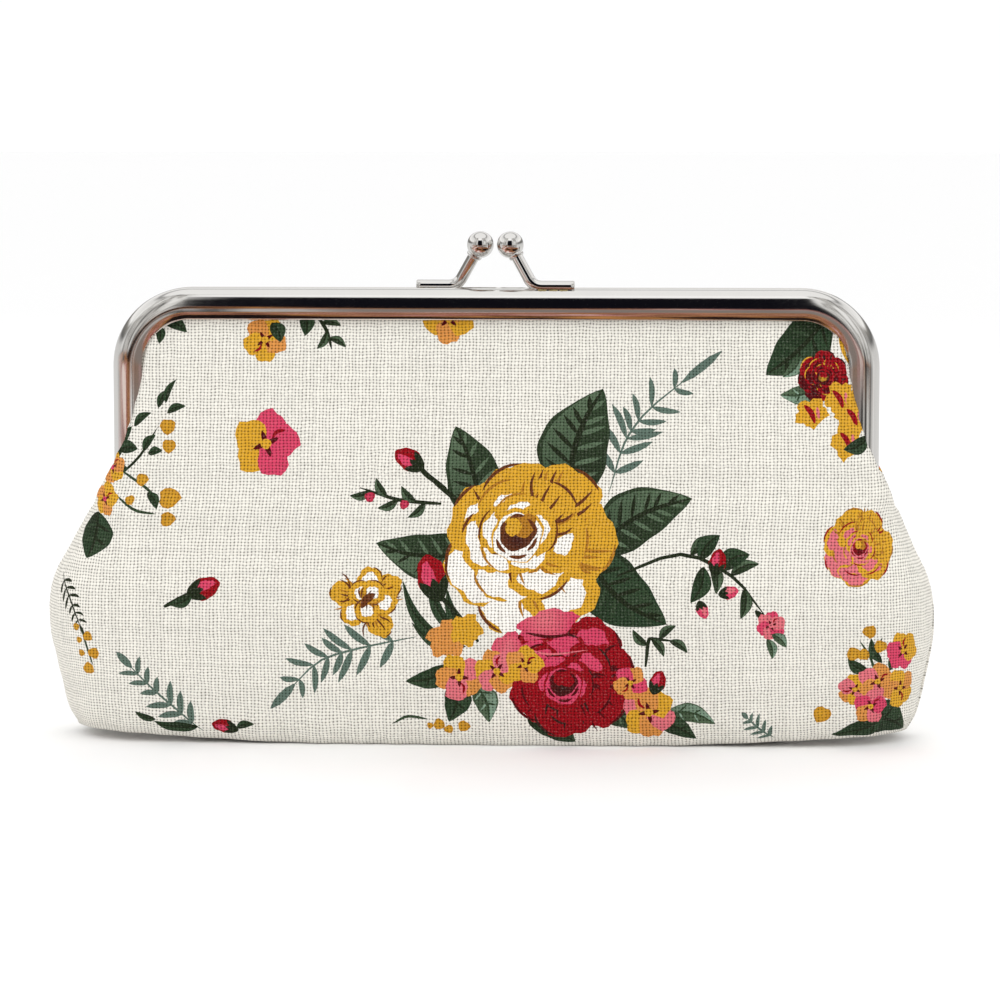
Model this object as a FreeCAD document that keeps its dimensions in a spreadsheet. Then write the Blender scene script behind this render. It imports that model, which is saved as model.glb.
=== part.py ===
"""Kiss-lock coin purse: sprung metal frame, ball clasp, printed cloth bag with padding and lining.

Millimetres. X runs along the mouth, Y through the depth (front is -Y), Z up from the flat base.
"""

import FreeCAD
import Part
import math
import os

import Sketcher

# name, value or formula, what it is
SIZES = (
    ("bag_width", "190", "widest part of the bag, side seam to side seam"),
    ("bag_depth", "40", "thickest part of the bag, front to rear"),
    ("frame_top", "95.3", "top of the frame above the base"),
    ("frame_width", "162", "outside width of the frame"),
    ("arm_length", "41.3", "frame top down to the hinge axis"),
    ("corner_radius", "16", "outside corner of the frame"),
    ("mouth_gap", "0.4", "space between the two closed frame halves"),
    ("frame_depth", "4.6", "channel of one half, mouth face to outer face"),
    ("frame_face", "5.0", "height of the channel's faces"),
    ("frame_wall", "0.6", "sheet metal"),
    ("frame_round", "1.0", "outer bend of the sheet"),
    ("ear_radius", "2.6", "hinge ear"),
    ("arm_end_rise", "3.6", "channel end above the hinge axis"),
    ("ear_gap", "0.1", "between the stacked hinge ears"),
    ("rivet_radius", "1.0", "hinge rivet shank"),
    ("rivet_fit", "0.05", "radial running clearance in the ears"),
    ("rivet_slack", "0.05", "between rivet head and ear"),
    ("head_radius", "2.0", "rivet head"),
    ("head_rise", "0.75", "rivet head"),
    ("fabric", "0.6", "printed cloth"),
    ("padding", "0.8", "interlining"),
    ("lining", "0.3", "lining cloth"),
    ("layer_gap", "0.1", "between neighbouring layers"),
    ("frame_clear", "0.3", "cloth to frame edge"),
    ("bulge_clear", "0.5", "cloth bulging in front of the frame arms"),
    ("swing_gap", "2.0", "moving upper cloth to standing lower cloth"),
    ("rim_drop", "5", "rim of the standing pouch below the hinge axis"),
    ("skirt_drop", "1", "lower edge of the moving cloth below the hinge axis"),
    ("rim_flare", "6", "pouch rim beyond the frame, each side"),
    ("tuck_rise", "7", "lower end of the tucked-in cloth above the hinge axis"),
    ("rod_radius", "1.18", "clasp rod"),
    ("foot_height", "0.95", "rod axis over the frame top, the foot is flattened to sit on it"),
    ("foot_end", "17", "outer end of the clasp foot"),
    ("ball_radius", "2.85", "clasp ball"),
    ("ball_offset", "3.2", "clasp ball from the middle"),
    ("ball_rise", "9.0", "clasp ball over the foot's axis"),
    ("ball_lean", "2.0", "how far the ball leans towards the mouth"),
    ("bend_radius", "3.2", "bend of the clasp rod"),
    ("stem_angle", "61", "slope of the clasp rod, degrees"),
    ("ball_fit", "0.02", "radial fit of rod in ball"),
    ("stitch_width", "0.5", "row of seam stitches"),
    ("hinge_z", "=frame_top - arm_length", "hinge axis"),
    ("arm_end_z", "=hinge_z + arm_end_rise", "lower end of the channel"),
    ("tuck_z", "=hinge_z + tuck_rise", "lower end of the tucked-in cloth and cord"),
    ("rim_z", "=hinge_z - rim_drop", "rim of the pouch"),
    ("skirt_z", "=hinge_z - skirt_drop", "lower edge of the moving cloth"),
    ("neck_z", "=frame_top - frame_face - frame_clear", "upper edge of the bulged cloth"),
    ("half_frame", "=frame_width / 2", "half width of the frame"),
    ("mouth_y", "=mouth_gap / 2", "mouth face of a frame half"),
    ("face_y", "=mouth_y + frame_depth", "outer face of a frame half"),
    ("tuck_y", "=face_y - frame_wall - layer_gap - fabric", "inner face of the tucked-in cloth"),
    ("line_y", "=tuck_y - layer_gap - lining", "inner face of the tucked-in lining"),
    ("cord_space", "=line_y - mouth_y - frame_wall - 2 * layer_gap", "left over for the paper cord"),
    ("cord_y", "=line_y - layer_gap - cord_space / 2", "paper cord"),
    ("cord_inset", "=frame_wall + layer_gap + cord_space / 2", "paper cord inside the outline"),
    ("wall_total", "=fabric + padding + lining + 2 * layer_gap", "all soft layers"),
    ("rim_depth", "=bag_depth * 0.38", "pouch rim, half depth"),
    ("skirt_depth", "=rim_depth - wall_total - swing_gap", "moving cloth at its lower edge, half depth"),
    ("neck_depth", "=tuck_y + fabric - 0.05", "moving cloth at the frame, half depth"),
    ("rim_width", "=half_frame + rim_flare", "pouch rim, half width"),
    ("side_swell", "=bag_width / 2 - rim_width", "pouch side beyond its rim"),
    ("ear_inner", "=half_frame - frame_wall - ear_gap", "outer face of the inner ear"),
)

# height over rim height, share of the side swell, drop from it, half depth over depth, corner share
POUCH_SECTIONS = (
    (0.000, 1.00, 10.8, 0.335, 0.68),
    (0.030, 1.00, 7.0, 0.412, 0.74),
    (0.125, 1.00, 3.9, 0.462, 0.79),
    (0.320, 1.00, 1.6, 0.490, 0.82),
    (0.550, 1.00, 0.0, 0.500, 0.82),
    (0.780, 0.70, 0.0, 0.463, 0.82),
    (1.000, 0.00, 0.0, 0.380, 0.80),
    (1.040, -0.17, 0.0, 0.362, 0.80),
)

# height from skirt to neck, half width beyond the frame, half depth from neck to skirt, corner share
SLEEVE_SECTIONS = (
    (-0.04, 2.4, 1.00, 0.66),
    (0.10, 1.4, 0.97, 0.66),
    (0.29, -1.4, 0.84, 0.68),
    (0.46, -3.6, 0.68, 0.70),
    (0.62, -5.3, 0.50, 0.73),
    (0.80, -6.9, 0.24, 0.77),
    (1.00, -8.8, 0.00, 0.82),
    (1.03, -9.2, -0.03, 0.82),
)

# depth of each layer face below the cloth's outside
LEVELS = {
    "cloth_out": "0",
    "cloth_in": "Sizes.fabric",
    "padding_out": "(Sizes.fabric + Sizes.layer_gap)",
    "padding_in": "(Sizes.fabric + Sizes.layer_gap + Sizes.padding)",
    "lining_out": "(Sizes.wall_total - Sizes.lining)",
    "lining_in": "Sizes.wall_total",
}

LAYERS = (
    ("outer", "cloth_out", "cloth_in"),
    ("padding", "padding_out", "padding_in"),
    ("lining", "lining_out", "lining_in"),
)

SIDES = (("front", -1), ("rear", 1))
FAR = 400.0

doc = FreeCAD.newDocument("CoinPurse")
finished = []


def make_sheet():
    """Write every size into the spreadsheet under its own name."""
    sheet = doc.addObject("Spreadsheet::Sheet", "Sizes")
    for row, (name, value, note) in enumerate(SIZES, start=1):
        sheet.set(f"A{row}", name)
        sheet.set(f"B{row}", value)
        sheet.set(f"C{row}", note)
        sheet.setAlias(f"B{row}", name)
    doc.recompute()
    return sheet


SHEET = make_sheet()


def size(formula):
    """Present value of a formula over the sheet."""
    value = SHEET.evalExpression(formula)
    return float(getattr(value, "Value", value))


def new_body(name):
    """An empty body whose label is its name."""
    body = doc.addObject("PartDesign::Body", name)
    body.Label = name
    return body


def new_sketch(body, name, plane, offset="0"):
    """A sketch on one of the body's own origin planes, moved along its normal by a formula."""
    sketch = body.newObject("Sketcher::SketchObject", name)
    role = plane + "_Plane"
    support = [feature for feature in body.Origin.OriginFeatures if feature.Role == role]
    sketch.AttachmentSupport = [(support[0], "")]
    sketch.MapMode = "FlatFace"
    sketch.setExpression("AttachmentOffset.Base.z", offset)
    return sketch


def tie(sketch, kind, *where, formula):
    """Add a dimension that follows a formula."""
    index = sketch.addConstraint(Sketcher.Constraint(kind, *where, size(formula)))
    sketch.setExpression(f"Constraints[{index}]", formula)


def add_line(sketch, start, end):
    """A straight edge."""
    edge = Part.LineSegment(FreeCAD.Vector(*start, 0), FreeCAD.Vector(*end, 0))
    return sketch.addGeometry(edge, False)


def corner_arc(before, corner, after, radius):
    """Arc that rounds a right-angled corner, and whether it runs counter-clockwise."""
    way_in = (FreeCAD.Vector(*corner, 0) - FreeCAD.Vector(*before, 0)).normalize()
    way_out = (FreeCAD.Vector(*after, 0) - FreeCAD.Vector(*corner, 0)).normalize()
    left_turn = way_in.cross(way_out).z > 0
    start = FreeCAD.Vector(*corner, 0) - way_in * radius
    end = FreeCAD.Vector(*corner, 0) + way_out * radius
    centre = start + way_out * radius
    first, last = (start, end) if left_turn else (end, start)
    angles = [math.atan2(point.y - centre.y, point.x - centre.x) for point in (first, last)]
    if angles[1] < angles[0]:
        angles[1] += 2 * math.pi
    circle = Part.Circle(centre, FreeCAD.Vector(0, 0, 1), radius)
    return Part.ArcOfCircle(circle, angles[0], angles[1]), left_turn


def square_outline(sketch, sides):
    """Closed outline of alternating upright and level sides.

    Each side is (position formula, corner radius formula or None); the first side is upright, a
    position is X for an upright side and Y for a level one, and the radius is that of the corner
    at the side's end.
    """
    count = len(sides)
    spots = [size(position) for position, _ in sides]
    corners = []
    for index in range(count):
        after = spots[(index + 1) % count]
        corners.append((spots[index], after) if index % 2 == 0 else (after, spots[index]))
    lines = []
    for index in range(count):
        lines.append(add_line(sketch, corners[index - 1], corners[index]))
    for index, (position, _) in enumerate(sides):
        upright = index % 2 == 0
        sketch.addConstraint(Sketcher.Constraint("Vertical" if upright else "Horizontal", lines[index]))
        tie(sketch, "DistanceX" if upright else "DistanceY", -1, 1, lines[index], 1, formula=position)
    for index, (_, radius) in enumerate(sides):
        following = (index + 1) % count
        if radius is None:
            joint = Sketcher.Constraint("Coincident", lines[index], 2, lines[following], 1)
            sketch.addConstraint(joint)
            continue
        arc, left_turn = corner_arc(corners[index - 1], corners[index], corners[following], size(radius))
        edge = sketch.addGeometry(arc, False)
        near, far = (1, 2) if left_turn else (2, 1)
        sketch.addConstraint(Sketcher.Constraint("Tangent", lines[index], 2, edge, near))
        sketch.addConstraint(Sketcher.Constraint("Tangent", edge, far, lines[following], 1))
        tie(sketch, "Radius", edge, formula=radius)


def rounded_rectangle(sketch, half_width, half_depth, radius):
    """Rectangle about the sketch origin with rounded corners."""
    square_outline(
        sketch,
        (
            (half_width, radius),
            (half_depth, radius),
            (f"-({half_width})", radius),
            (f"-({half_depth})", radius),
        ),
    )


def add_circle(sketch, x, y, radius):
    """Circle placed and sized by formulas; an x or y of None lies on the axis."""
    centre = FreeCAD.Vector(size(x) if x else 0, size(y) if y else 0, 0)
    edge = sketch.addGeometry(Part.Circle(centre, FreeCAD.Vector(0, 0, 1), size(radius)), False)
    tie(sketch, "Radius", edge, formula=radius)
    for kind, place, axis in (("DistanceX", x, -2), ("DistanceY", y, -1)):
        if place:
            tie(sketch, kind, -1, 1, edge, 3, formula=place)
        else:
            sketch.addConstraint(Sketcher.Constraint("PointOnObject", edge, 3, axis))


def add_polygon(sketch, points):
    """Closed polygon whose corners are pairs of formulas."""
    spots = [(size(x), size(y)) for x, y in points]
    edges = [add_line(sketch, spots[i], spots[(i + 1) % len(spots)]) for i in range(len(spots))]
    for index, (x, y) in enumerate(points):
        joint = Sketcher.Constraint("Coincident", edges[index - 1], 2, edges[index], 1)
        sketch.addConstraint(joint)
        tie(sketch, "DistanceX", -1, 1, edges[index], 1, formula=x)
        tie(sketch, "DistanceY", -1, 1, edges[index], 1, formula=y)


def extrude(body, kind, name, sketch, length, midplane=False, reverse=False):
    """Pad or pocket a sketch by a formula."""
    feature = body.newObject(f"PartDesign::{kind}", name)
    feature.Profile = sketch
    feature.setExpression("Length", length)
    feature.SideType = "Symmetric" if midplane else "One side"
    feature.Reversed = reverse
    body.Tip = feature
    return feature


def arch(sketch, outer, inner, foot):
    """Upside-down U: outer and inner are (half width, top, corner radius) formulas."""
    outer_width, outer_top, outer_corner = outer
    inner_width, inner_top, inner_corner = inner
    square_outline(
        sketch,
        (
            (outer_width, outer_corner),
            (outer_top, outer_corner),
            (f"-({outer_width})", None),
            (foot, None),
            (f"-({inner_width})", inner_corner),
            (inner_top, inner_corner),
            (inner_width, None),
            (foot, None),
        ),
    )


def outline_at(inset):
    """The frame's outside outline moved inwards by a formula."""
    return (
        f"Sizes.half_frame - ({inset})",
        f"Sizes.frame_top - ({inset})",
        f"Sizes.corner_radius - ({inset})",
    )


def loft_form(name, sections):
    """Solid through rounded rectangles given as (height, half width, half depth, corner) formulas."""
    body = new_body(name)
    sketches = []
    for index, (height, half_width, half_depth, corner) in enumerate(sections):
        sketch = new_sketch(body, f"{name}_section_{index}", "XY", height)
        rounded_rectangle(sketch, half_width, half_depth, corner)
        sketches.append(sketch)
    loft = body.newObject("PartDesign::AdditiveLoft", f"{name}_loft")
    loft.Profile = sketches[0]
    loft.Sections = sketches[1:]
    body.Tip = loft
    return body


def pouch_form(level, depth):
    """Standing lower bag at one layer face."""
    sections = []
    for height, swell, drop, half_depth, corner in POUCH_SECTIONS:
        lift = max(0.0, 1 - height / 0.2)
        wide = f"Sizes.rim_width + Sizes.side_swell * {swell} - {drop} - {depth}"
        deep = f"Sizes.bag_depth * {half_depth} - {depth}"
        edge = f"Sizes.bag_depth * {half_depth * corner} - {depth}"
        sections.append((f"Sizes.rim_z * {height} + {depth} * {lift}", wide, deep, edge))
    return loft_form(f"pouch_{level}", sections)


def sleeve_form(level, depth):
    """Moving upper cloth at one layer face, cut back round the frame arms and hinge."""
    sections = []
    for height, beyond, share, corner in SLEEVE_SECTIONS:
        deep = f"Sizes.neck_depth + (Sizes.skirt_depth - Sizes.neck_depth) * {share}"
        wide = f"Sizes.half_frame + {beyond} - {depth}"
        edge = f"({deep}) * {corner} - {depth}"
        rise = f"Sizes.skirt_z + (Sizes.neck_z - Sizes.skirt_z) * {height}"
        sections.append((rise, wide, f"{deep} - {depth}", edge))
    form = loft_form(f"sleeve_{level}", sections)
    room = new_body(f"frame_room_{level}")
    sketch = new_sketch(room, f"frame_room_{level}_outline", "XZ")
    outer = outline_at("-20")
    inner = outline_at(f"Sizes.frame_face + Sizes.frame_clear + {depth}")
    arch(sketch, outer, inner, "Sizes.hinge_z - 10")
    extrude(room, "Pad", f"frame_room_{level}_pad", sketch,
            f"2 * (Sizes.face_y + Sizes.bulge_clear + {depth})", midplane=True)
    return combine("Cut", f"cut_sleeve_{level}", form, room)


def combine(kind, name, base, tool):
    """Boolean of two objects; kind is Cut, Common or Fuse."""
    result = doc.addObject(f"Part::{kind}", name)
    result.Label = name
    result.Base = base
    result.Tool = tool
    return result


def slab(name, low, high, back=None, front=None):
    """Wide block between two heights and two depths given as formulas."""
    box = doc.addObject("Part::Box", name)
    box.Length = 2 * FAR
    box.Placement.Base.x = -FAR
    box.setExpression("Height", f"({high}) - ({low})")
    box.setExpression("Placement.Base.z", low)
    box.setExpression("Placement.Base.y", back)
    box.setExpression("Width", f"({front}) - ({back})")
    return box


def side_slab(name, side, low, high, start):
    """Block on the front or rear side only, from a distance off the middle plane outwards."""
    if side < 0:
        return slab(name, low, high, f"-{FAR}", f"-({start})")
    return slab(name, low, high, start, f"{FAR}")


def turn_to_rear(obj, side):
    """Half a turn about Z for the pieces of the rear half."""
    if side > 0:
        obj.Placement = FreeCAD.Placement(FreeCAD.Vector(0, 0, 0), FreeCAD.Rotation(FreeCAD.Vector(0, 0, 1), 180))


def finish(obj):
    """Mark an object as a finished piece."""
    finished.append(obj)
    return obj


def make_pouch(forms):
    """Standing lower panels of cloth, interlining and lining."""
    starts = {"outer": "0", "padding": "Sizes.stitch_width / 2 + Sizes.layer_gap", "lining": "0"}
    for word, side in SIDES:
        for layer, outside, inside in LAYERS:
            name = f"{layer}_{word}_lower"
            shell = combine("Cut", f"{name}_shell", forms[outside], forms[inside])
            half = side_slab(f"{name}_half", side, "-1", "Sizes.rim_z", starts[layer])
            finish(combine("Common", name, shell, half))
    shell = combine("Cut", "seam_thread_shell", forms["padding_out"], forms["padding_in"])
    half_width = "Sizes.stitch_width / 2"
    strip = slab("seam_thread_strip", "-1", "Sizes.rim_z - 1", f"-{half_width}", half_width)
    finish(combine("Common", "seam_thread", shell, strip))


def make_tuck(name, side, near, thickness, reach):
    """Flat margin of a cloth inside the frame channel."""
    body = new_body(name)
    sketch = new_sketch(body, f"{name}_outline", "XZ", near)
    inner_width = f"Sizes.half_frame - Sizes.frame_face - {reach}"
    inner_top = f"Sizes.frame_top - Sizes.frame_face - {reach}"
    inner = (inner_width, inner_top, f"Sizes.corner_radius - Sizes.frame_face - {reach}")
    arch(sketch, outline_at("Sizes.frame_wall + 3 * Sizes.layer_gap"), inner, "Sizes.tuck_z")
    extrude(body, "Pad", f"{name}_pad", sketch, thickness)
    turn_to_rear(body, side)
    return body


def make_sleeve(sleeves, word, side):
    """Upper panels of one half: bulged cloth plus its margin tucked into the frame."""
    starts = {
        "outer": "Sizes.tuck_y",
        "padding": "Sizes.tuck_y + Sizes.fabric + Sizes.layer_gap",
        "lining": "Sizes.line_y",
    }
    tucks = {
        "outer": ("Sizes.tuck_y", "Sizes.fabric", "1.3"),
        "lining": ("Sizes.line_y", "Sizes.lining", "4.0"),
    }
    for layer, outside, inside in LAYERS:
        name = f"{word}_{layer}_upper"
        shell = combine("Cut", f"{name}_shell", sleeves[outside], sleeves[inside])
        half = side_slab(f"{name}_half", side, "Sizes.skirt_z", "Sizes.neck_z", starts[layer])
        panel = combine("Common", f"{name}_bulge" if layer in tucks else name, shell, half)
        if layer in tucks:
            tuck = make_tuck(f"{name}_tuck", side, *tucks[layer])
            panel = combine("Fuse", name, panel, tuck)
        finish(panel)


def make_frame(word, side):
    """Folded channel with its two hinge ears; the rear half's ears sit inside the front half's."""
    name = f"{word}_frame"
    body = new_body(name)
    outline = new_sketch(body, f"{name}_outline", "XZ", "Sizes.mouth_y")
    arch(outline, outline_at("0"), outline_at("Sizes.frame_face"), "Sizes.arm_end_z")
    bar = extrude(body, "Pad", f"{name}_bar", outline, "Sizes.frame_depth")
    doc.recompute()
    bend = body.newObject("PartDesign::Fillet", f"{name}_bend")
    bend.Base = (bar, outer_edges(bar.Shape))
    bend.setExpression("Radius", "Sizes.frame_round")
    body.Tip = bend
    channel = new_sketch(body, f"{name}_channel_outline", "XZ", "Sizes.mouth_y + Sizes.frame_wall")
    arch(channel, outline_at("Sizes.frame_wall"), outline_at("Sizes.frame_face + 2"), "Sizes.arm_end_z - 1")
    extrude(body, "Pocket", f"{name}_channel", channel, "Sizes.frame_depth - 2 * Sizes.frame_wall",
            reverse=True)
    outer_face = "Sizes.half_frame" if side < 0 else "Sizes.ear_inner"
    for hand, sign in (("left", -1), ("right", 1)):
        add_ear(body, f"{name}_{hand}_ear", sign, outer_face, side > 0)
    turn_to_rear(body, side)
    return finish(body)


def outer_edges(shape):
    """Edges of the bar where its outer rim meets the two side faces."""
    top = shape.BoundBox.ZMax
    wide = shape.BoundBox.XMax
    names = []
    for index, edge in enumerate(shape.Edges, start=1):
        box = edge.BoundBox
        on_rim = box.ZMax > top - 1e-6 or box.XMax > wide - 1e-6 or box.XMin < -wide + 1e-6
        if on_rim and box.YLength < 1e-6 and (box.ZLength > 1e-6 or box.ZMin > top - 1e-6):
            if box.ZLength > 1e-6 or box.XLength > 1e-6:
                names.append(f"Edge{index}")
    return names


def add_ear(body, name, sign, outer_face, stepped):
    """Ear plate round the hinge axis, joined to the arm, with the rivet hole."""
    inner_face = f"({outer_face} - Sizes.frame_wall)"
    low = inner_face if sign > 0 else f"-({outer_face})"
    disc = new_sketch(body, f"{name}_disc", "YZ", low)
    add_circle(disc, None, "Sizes.hinge_z", "Sizes.ear_radius")
    extrude(body, "Pad", f"{name}_disc_pad", disc, "Sizes.frame_wall")
    neck = new_sketch(body, f"{name}_neck", "YZ", low)
    add_polygon(
        neck,
        (
            ("-Sizes.mouth_y", "Sizes.hinge_z - 1"),
            ("-Sizes.mouth_y", "Sizes.arm_end_z + 1.5"),
            ("-Sizes.face_y", "Sizes.arm_end_z + 1.5"),
            ("-Sizes.face_y", "Sizes.arm_end_z"),
            ("-Sizes.ear_radius * 0.9", "Sizes.hinge_z - 1"),
        ),
    )
    extrude(body, "Pad", f"{name}_neck_pad", neck, "Sizes.frame_wall")
    if stepped:
        step_low = inner_face if sign > 0 else "-Sizes.half_frame"
        step = new_sketch(body, f"{name}_step", "YZ", step_low)
        add_polygon(
            step,
            (
                ("-Sizes.mouth_y", "Sizes.arm_end_z + 0.3"),
                ("-Sizes.mouth_y", "Sizes.arm_end_z + 1.5"),
                ("-(Sizes.face_y - Sizes.frame_wall)", "Sizes.arm_end_z + 1.5"),
                ("-(Sizes.face_y - Sizes.frame_wall)", "Sizes.arm_end_z + 0.3"),
            ),
        )
        extrude(body, "Pad", f"{name}_step_pad", step, f"Sizes.half_frame - {inner_face}")
    hole = new_sketch(body, f"{name}_hole", "YZ", f"{low} - 1")
    add_circle(hole, None, "Sizes.hinge_z", "Sizes.rivet_radius + Sizes.rivet_fit")
    extrude(body, "Pocket", f"{name}_bore", hole, "Sizes.frame_wall + 2", reverse=True)


def make_rivet(hand, sign):
    """Hinge rivet through both ears, domed outside."""
    name = f"hinge_rivet_{hand}"
    body = new_body(name)
    sketch = new_sketch(body, f"{name}_profile", "XZ")
    inner_end = "(Sizes.ear_inner - Sizes.frame_wall - Sizes.rivet_slack)"
    outer_end = "(Sizes.half_frame + Sizes.rivet_slack)"
    stations = (
        (f"{inner_end} - 0.5", "0", "Sizes.head_radius * 0.8"),
        (inner_end, "Sizes.head_radius * 0.8", "Sizes.rivet_radius"),
        (outer_end, "Sizes.rivet_radius", "Sizes.head_radius"),
        (f"{outer_end} + Sizes.head_rise * 0.35", "Sizes.head_radius", None),
        (f"{outer_end} + Sizes.head_rise * 0.8", "Sizes.head_radius * 0.75", None),
        (f"{outer_end} + Sizes.head_rise", "Sizes.head_radius * 0.35", "0"),
    )
    points = []
    for along, first, second in stations:
        x = along if sign > 0 else f"-({along})"
        for radius in (first, second):
            if radius is not None:
                points.append((x, f"Sizes.hinge_z + {radius}"))
    add_polygon(sketch, points)
    axis = add_line(sketch, (sign * 70.0, size("Sizes.hinge_z")), (sign * 90.0, size("Sizes.hinge_z")))
    sketch.toggleConstruction(axis)
    sketch.addConstraint(Sketcher.Constraint("Horizontal", axis))
    tie(sketch, "DistanceY", -1, 1, axis, 1, formula="Sizes.hinge_z")
    tie(sketch, "DistanceX", -1, 1, axis, 1, formula=f"{sign} * (Sizes.half_frame - 10)")
    tie(sketch, "DistanceX", -1, 1, axis, 2, formula=f"{sign} * (Sizes.half_frame + 10)")
    turned = body.newObject("PartDesign::Revolution", f"{name}_turned")
    turned.Profile = sketch
    turned.ReferenceAxis = (sketch, ["Axis0"])
    turned.Angle = 360
    body.Tip = turned
    return finish(body)


def make_cord(word, side):
    """Paper cord that wedges cloth and lining in the channel."""
    name = f"{word}_channel_cord"
    body = new_body(name)
    path = new_sketch(body, f"{name}_path", "XZ", "Sizes.cord_y")
    half, top, corner = outline_at("Sizes.cord_inset")
    foot = "Sizes.tuck_z + 0.5"
    wide, high, low, bend = size(half), size(top), size(foot), size(corner)
    left = add_line(path, (-wide, low), (-wide, high - bend))
    bar = add_line(path, (-wide + bend, high), (wide - bend, high))
    right = add_line(path, (wide, high - bend), (wide, low))
    turns = (
        corner_arc((-wide, low), (-wide, high), (wide, high), bend)[0],
        corner_arc((-wide, high), (wide, high), (wide, low), bend)[0],
    )
    first, second = (path.addGeometry(turn, False) for turn in turns)
    for line, kind in ((left, "Vertical"), (bar, "Horizontal"), (right, "Vertical")):
        path.addConstraint(Sketcher.Constraint(kind, line))
    for pair in ((left, 2, first, 2), (first, 1, bar, 1), (bar, 2, second, 2), (second, 1, right, 1)):
        path.addConstraint(Sketcher.Constraint("Tangent", *pair))
    for arc in (first, second):
        tie(path, "Radius", arc, formula=corner)
    tie(path, "DistanceX", -1, 1, left, 1, formula=f"-({half})")
    tie(path, "DistanceX", -1, 1, right, 1, formula=half)
    tie(path, "DistanceY", -1, 1, bar, 1, formula=top)
    tie(path, "DistanceY", -1, 1, left, 1, formula=foot)
    tie(path, "DistanceY", -1, 1, right, 2, formula=foot)
    profile = new_sketch(body, f"{name}_profile", "XY", foot)
    add_circle(profile, f"-({half})", "-Sizes.cord_y", "Sizes.cord_space / 2")
    sweep(body, f"{name}_sweep", profile, path)
    turn_to_rear(body, side)
    return finish(body)


def sweep(body, name, profile, path):
    """Pipe along an open path."""
    pipe = body.newObject("PartDesign::AdditivePipe", name)
    pipe.Profile = profile
    pipe.Spine = (path, [])
    body.Tip = pipe
    return pipe


def lean_sketch(body, name):
    """Sketch plane through the foot of the clasp rod, leaning towards the mouth."""
    sketch = new_sketch(body, name, "XZ")
    sketch.AttachmentOffset = FreeCAD.Placement(
        FreeCAD.Vector(0, 0, 0), FreeCAD.Rotation(FreeCAD.Vector(-1, 0, 0), 1)
    )
    sketch.setExpression("AttachmentOffset.Rotation.Angle", "asin(Sizes.ball_lean / Sizes.ball_rise)")
    return sketch


def rod_body(name, radius):
    """Clasp rod: level foot, one bend, stem running to the ball's centre."""
    body = new_body(name)
    path = lean_sketch(body, f"{name}_path")
    slope = "Sizes.stem_angle"
    knee = f"Sizes.ball_offset + Sizes.ball_rise / tan({slope})"
    tangent = f"Sizes.bend_radius * tan({slope} / 2)"
    foot_end, knee_x, run = size("Sizes.foot_end"), size(knee), size(tangent)
    angle = math.radians(size(slope))
    radius_now = size("Sizes.bend_radius")
    stem_start = (knee_x - run * math.cos(angle), run * math.sin(angle))
    ball = (size("Sizes.ball_offset"), size("Sizes.ball_rise"))
    foot = add_line(path, (foot_end, 0), (knee_x + run, 0))
    stem = add_line(path, stem_start, ball)
    circle = Part.Circle(FreeCAD.Vector(knee_x + run, radius_now, 0), FreeCAD.Vector(0, 0, 1), radius_now)
    bend = path.addGeometry(Part.ArcOfCircle(circle, 1.5 * math.pi - angle, 1.5 * math.pi), False)
    path.addConstraint(Sketcher.Constraint("PointOnObject", foot, 1, -1))
    path.addConstraint(Sketcher.Constraint("Horizontal", foot))
    path.addConstraint(Sketcher.Constraint("Tangent", foot, 2, bend, 2))
    path.addConstraint(Sketcher.Constraint("Tangent", bend, 1, stem, 1))
    tie(path, "Radius", bend, formula="Sizes.bend_radius")
    tie(path, "DistanceX", -1, 1, foot, 1, formula="Sizes.foot_end")
    tie(path, "DistanceX", -1, 1, stem, 2, formula="Sizes.ball_offset")
    tie(path, "DistanceY", -1, 1, stem, 2, formula="Sizes.ball_rise")
    profile = new_sketch(body, f"{name}_profile", "YZ", "Sizes.foot_end")
    add_circle(profile, None, None, radius)
    sweep(body, f"{name}_sweep", profile, path)
    return body


def place_clasp(obj, side):
    """Put a clasp piece on its frame half."""
    rotation = FreeCAD.Rotation(FreeCAD.Vector(0, 0, 1), 180 if side > 0 else 0)
    obj.Placement = FreeCAD.Placement(FreeCAD.Vector(0, 0, 0), rotation)
    obj.setExpression("Placement.Base.y", f"{side} * (Sizes.mouth_y + Sizes.face_y) / 2")
    obj.setExpression("Placement.Base.z", "Sizes.frame_top + Sizes.foot_height")


def make_clasp(word, side):
    """Rod brazed along the frame top, carrying its ball."""
    arm = rod_body(f"{word}_clasp_arm", "Sizes.rod_radius")
    flat = new_sketch(arm, f"{word}_clasp_flat", "XZ", "-Sizes.rod_radius * 2")
    square_outline(
        flat,
        (
            ("Sizes.foot_end + 2", None),
            ("-Sizes.foot_height", None),
            ("Sizes.ball_offset", None),
            ("-Sizes.foot_height - 2", None),
        ),
    )
    extrude(arm, "Pocket", f"{word}_clasp_flat_cut", flat, "Sizes.rod_radius * 4", reverse=True)
    place_clasp(arm, side)
    finish(arm)
    socket = rod_body(f"{word}_ball_socket", "Sizes.rod_radius + Sizes.ball_fit")
    place_clasp(socket, side)
    blank = doc.addObject("Part::Sphere", f"{word}_ball_blank")
    blank.setExpression("Radius", "Sizes.ball_radius")
    lean = "asin(Sizes.ball_lean / Sizes.ball_rise)"
    blank.setExpression("Placement.Base.x", f"{-side} * Sizes.ball_offset")
    blank.setExpression(
        "Placement.Base.y",
        f"{side} * ((Sizes.mouth_y + Sizes.face_y) / 2 - Sizes.ball_rise * sin({lean}))",
    )
    blank.setExpression(
        "Placement.Base.z", f"Sizes.frame_top + Sizes.foot_height + Sizes.ball_rise * cos({lean})"
    )
    finish(combine("Cut", f"{word}_clasp_ball", blank, socket))


def check(obj):
    """Stop if an object failed to build."""
    if {"Invalid", "Error"} & set(obj.State):
        raise RuntimeError(f"{obj.Name}: {obj.State}")


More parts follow.
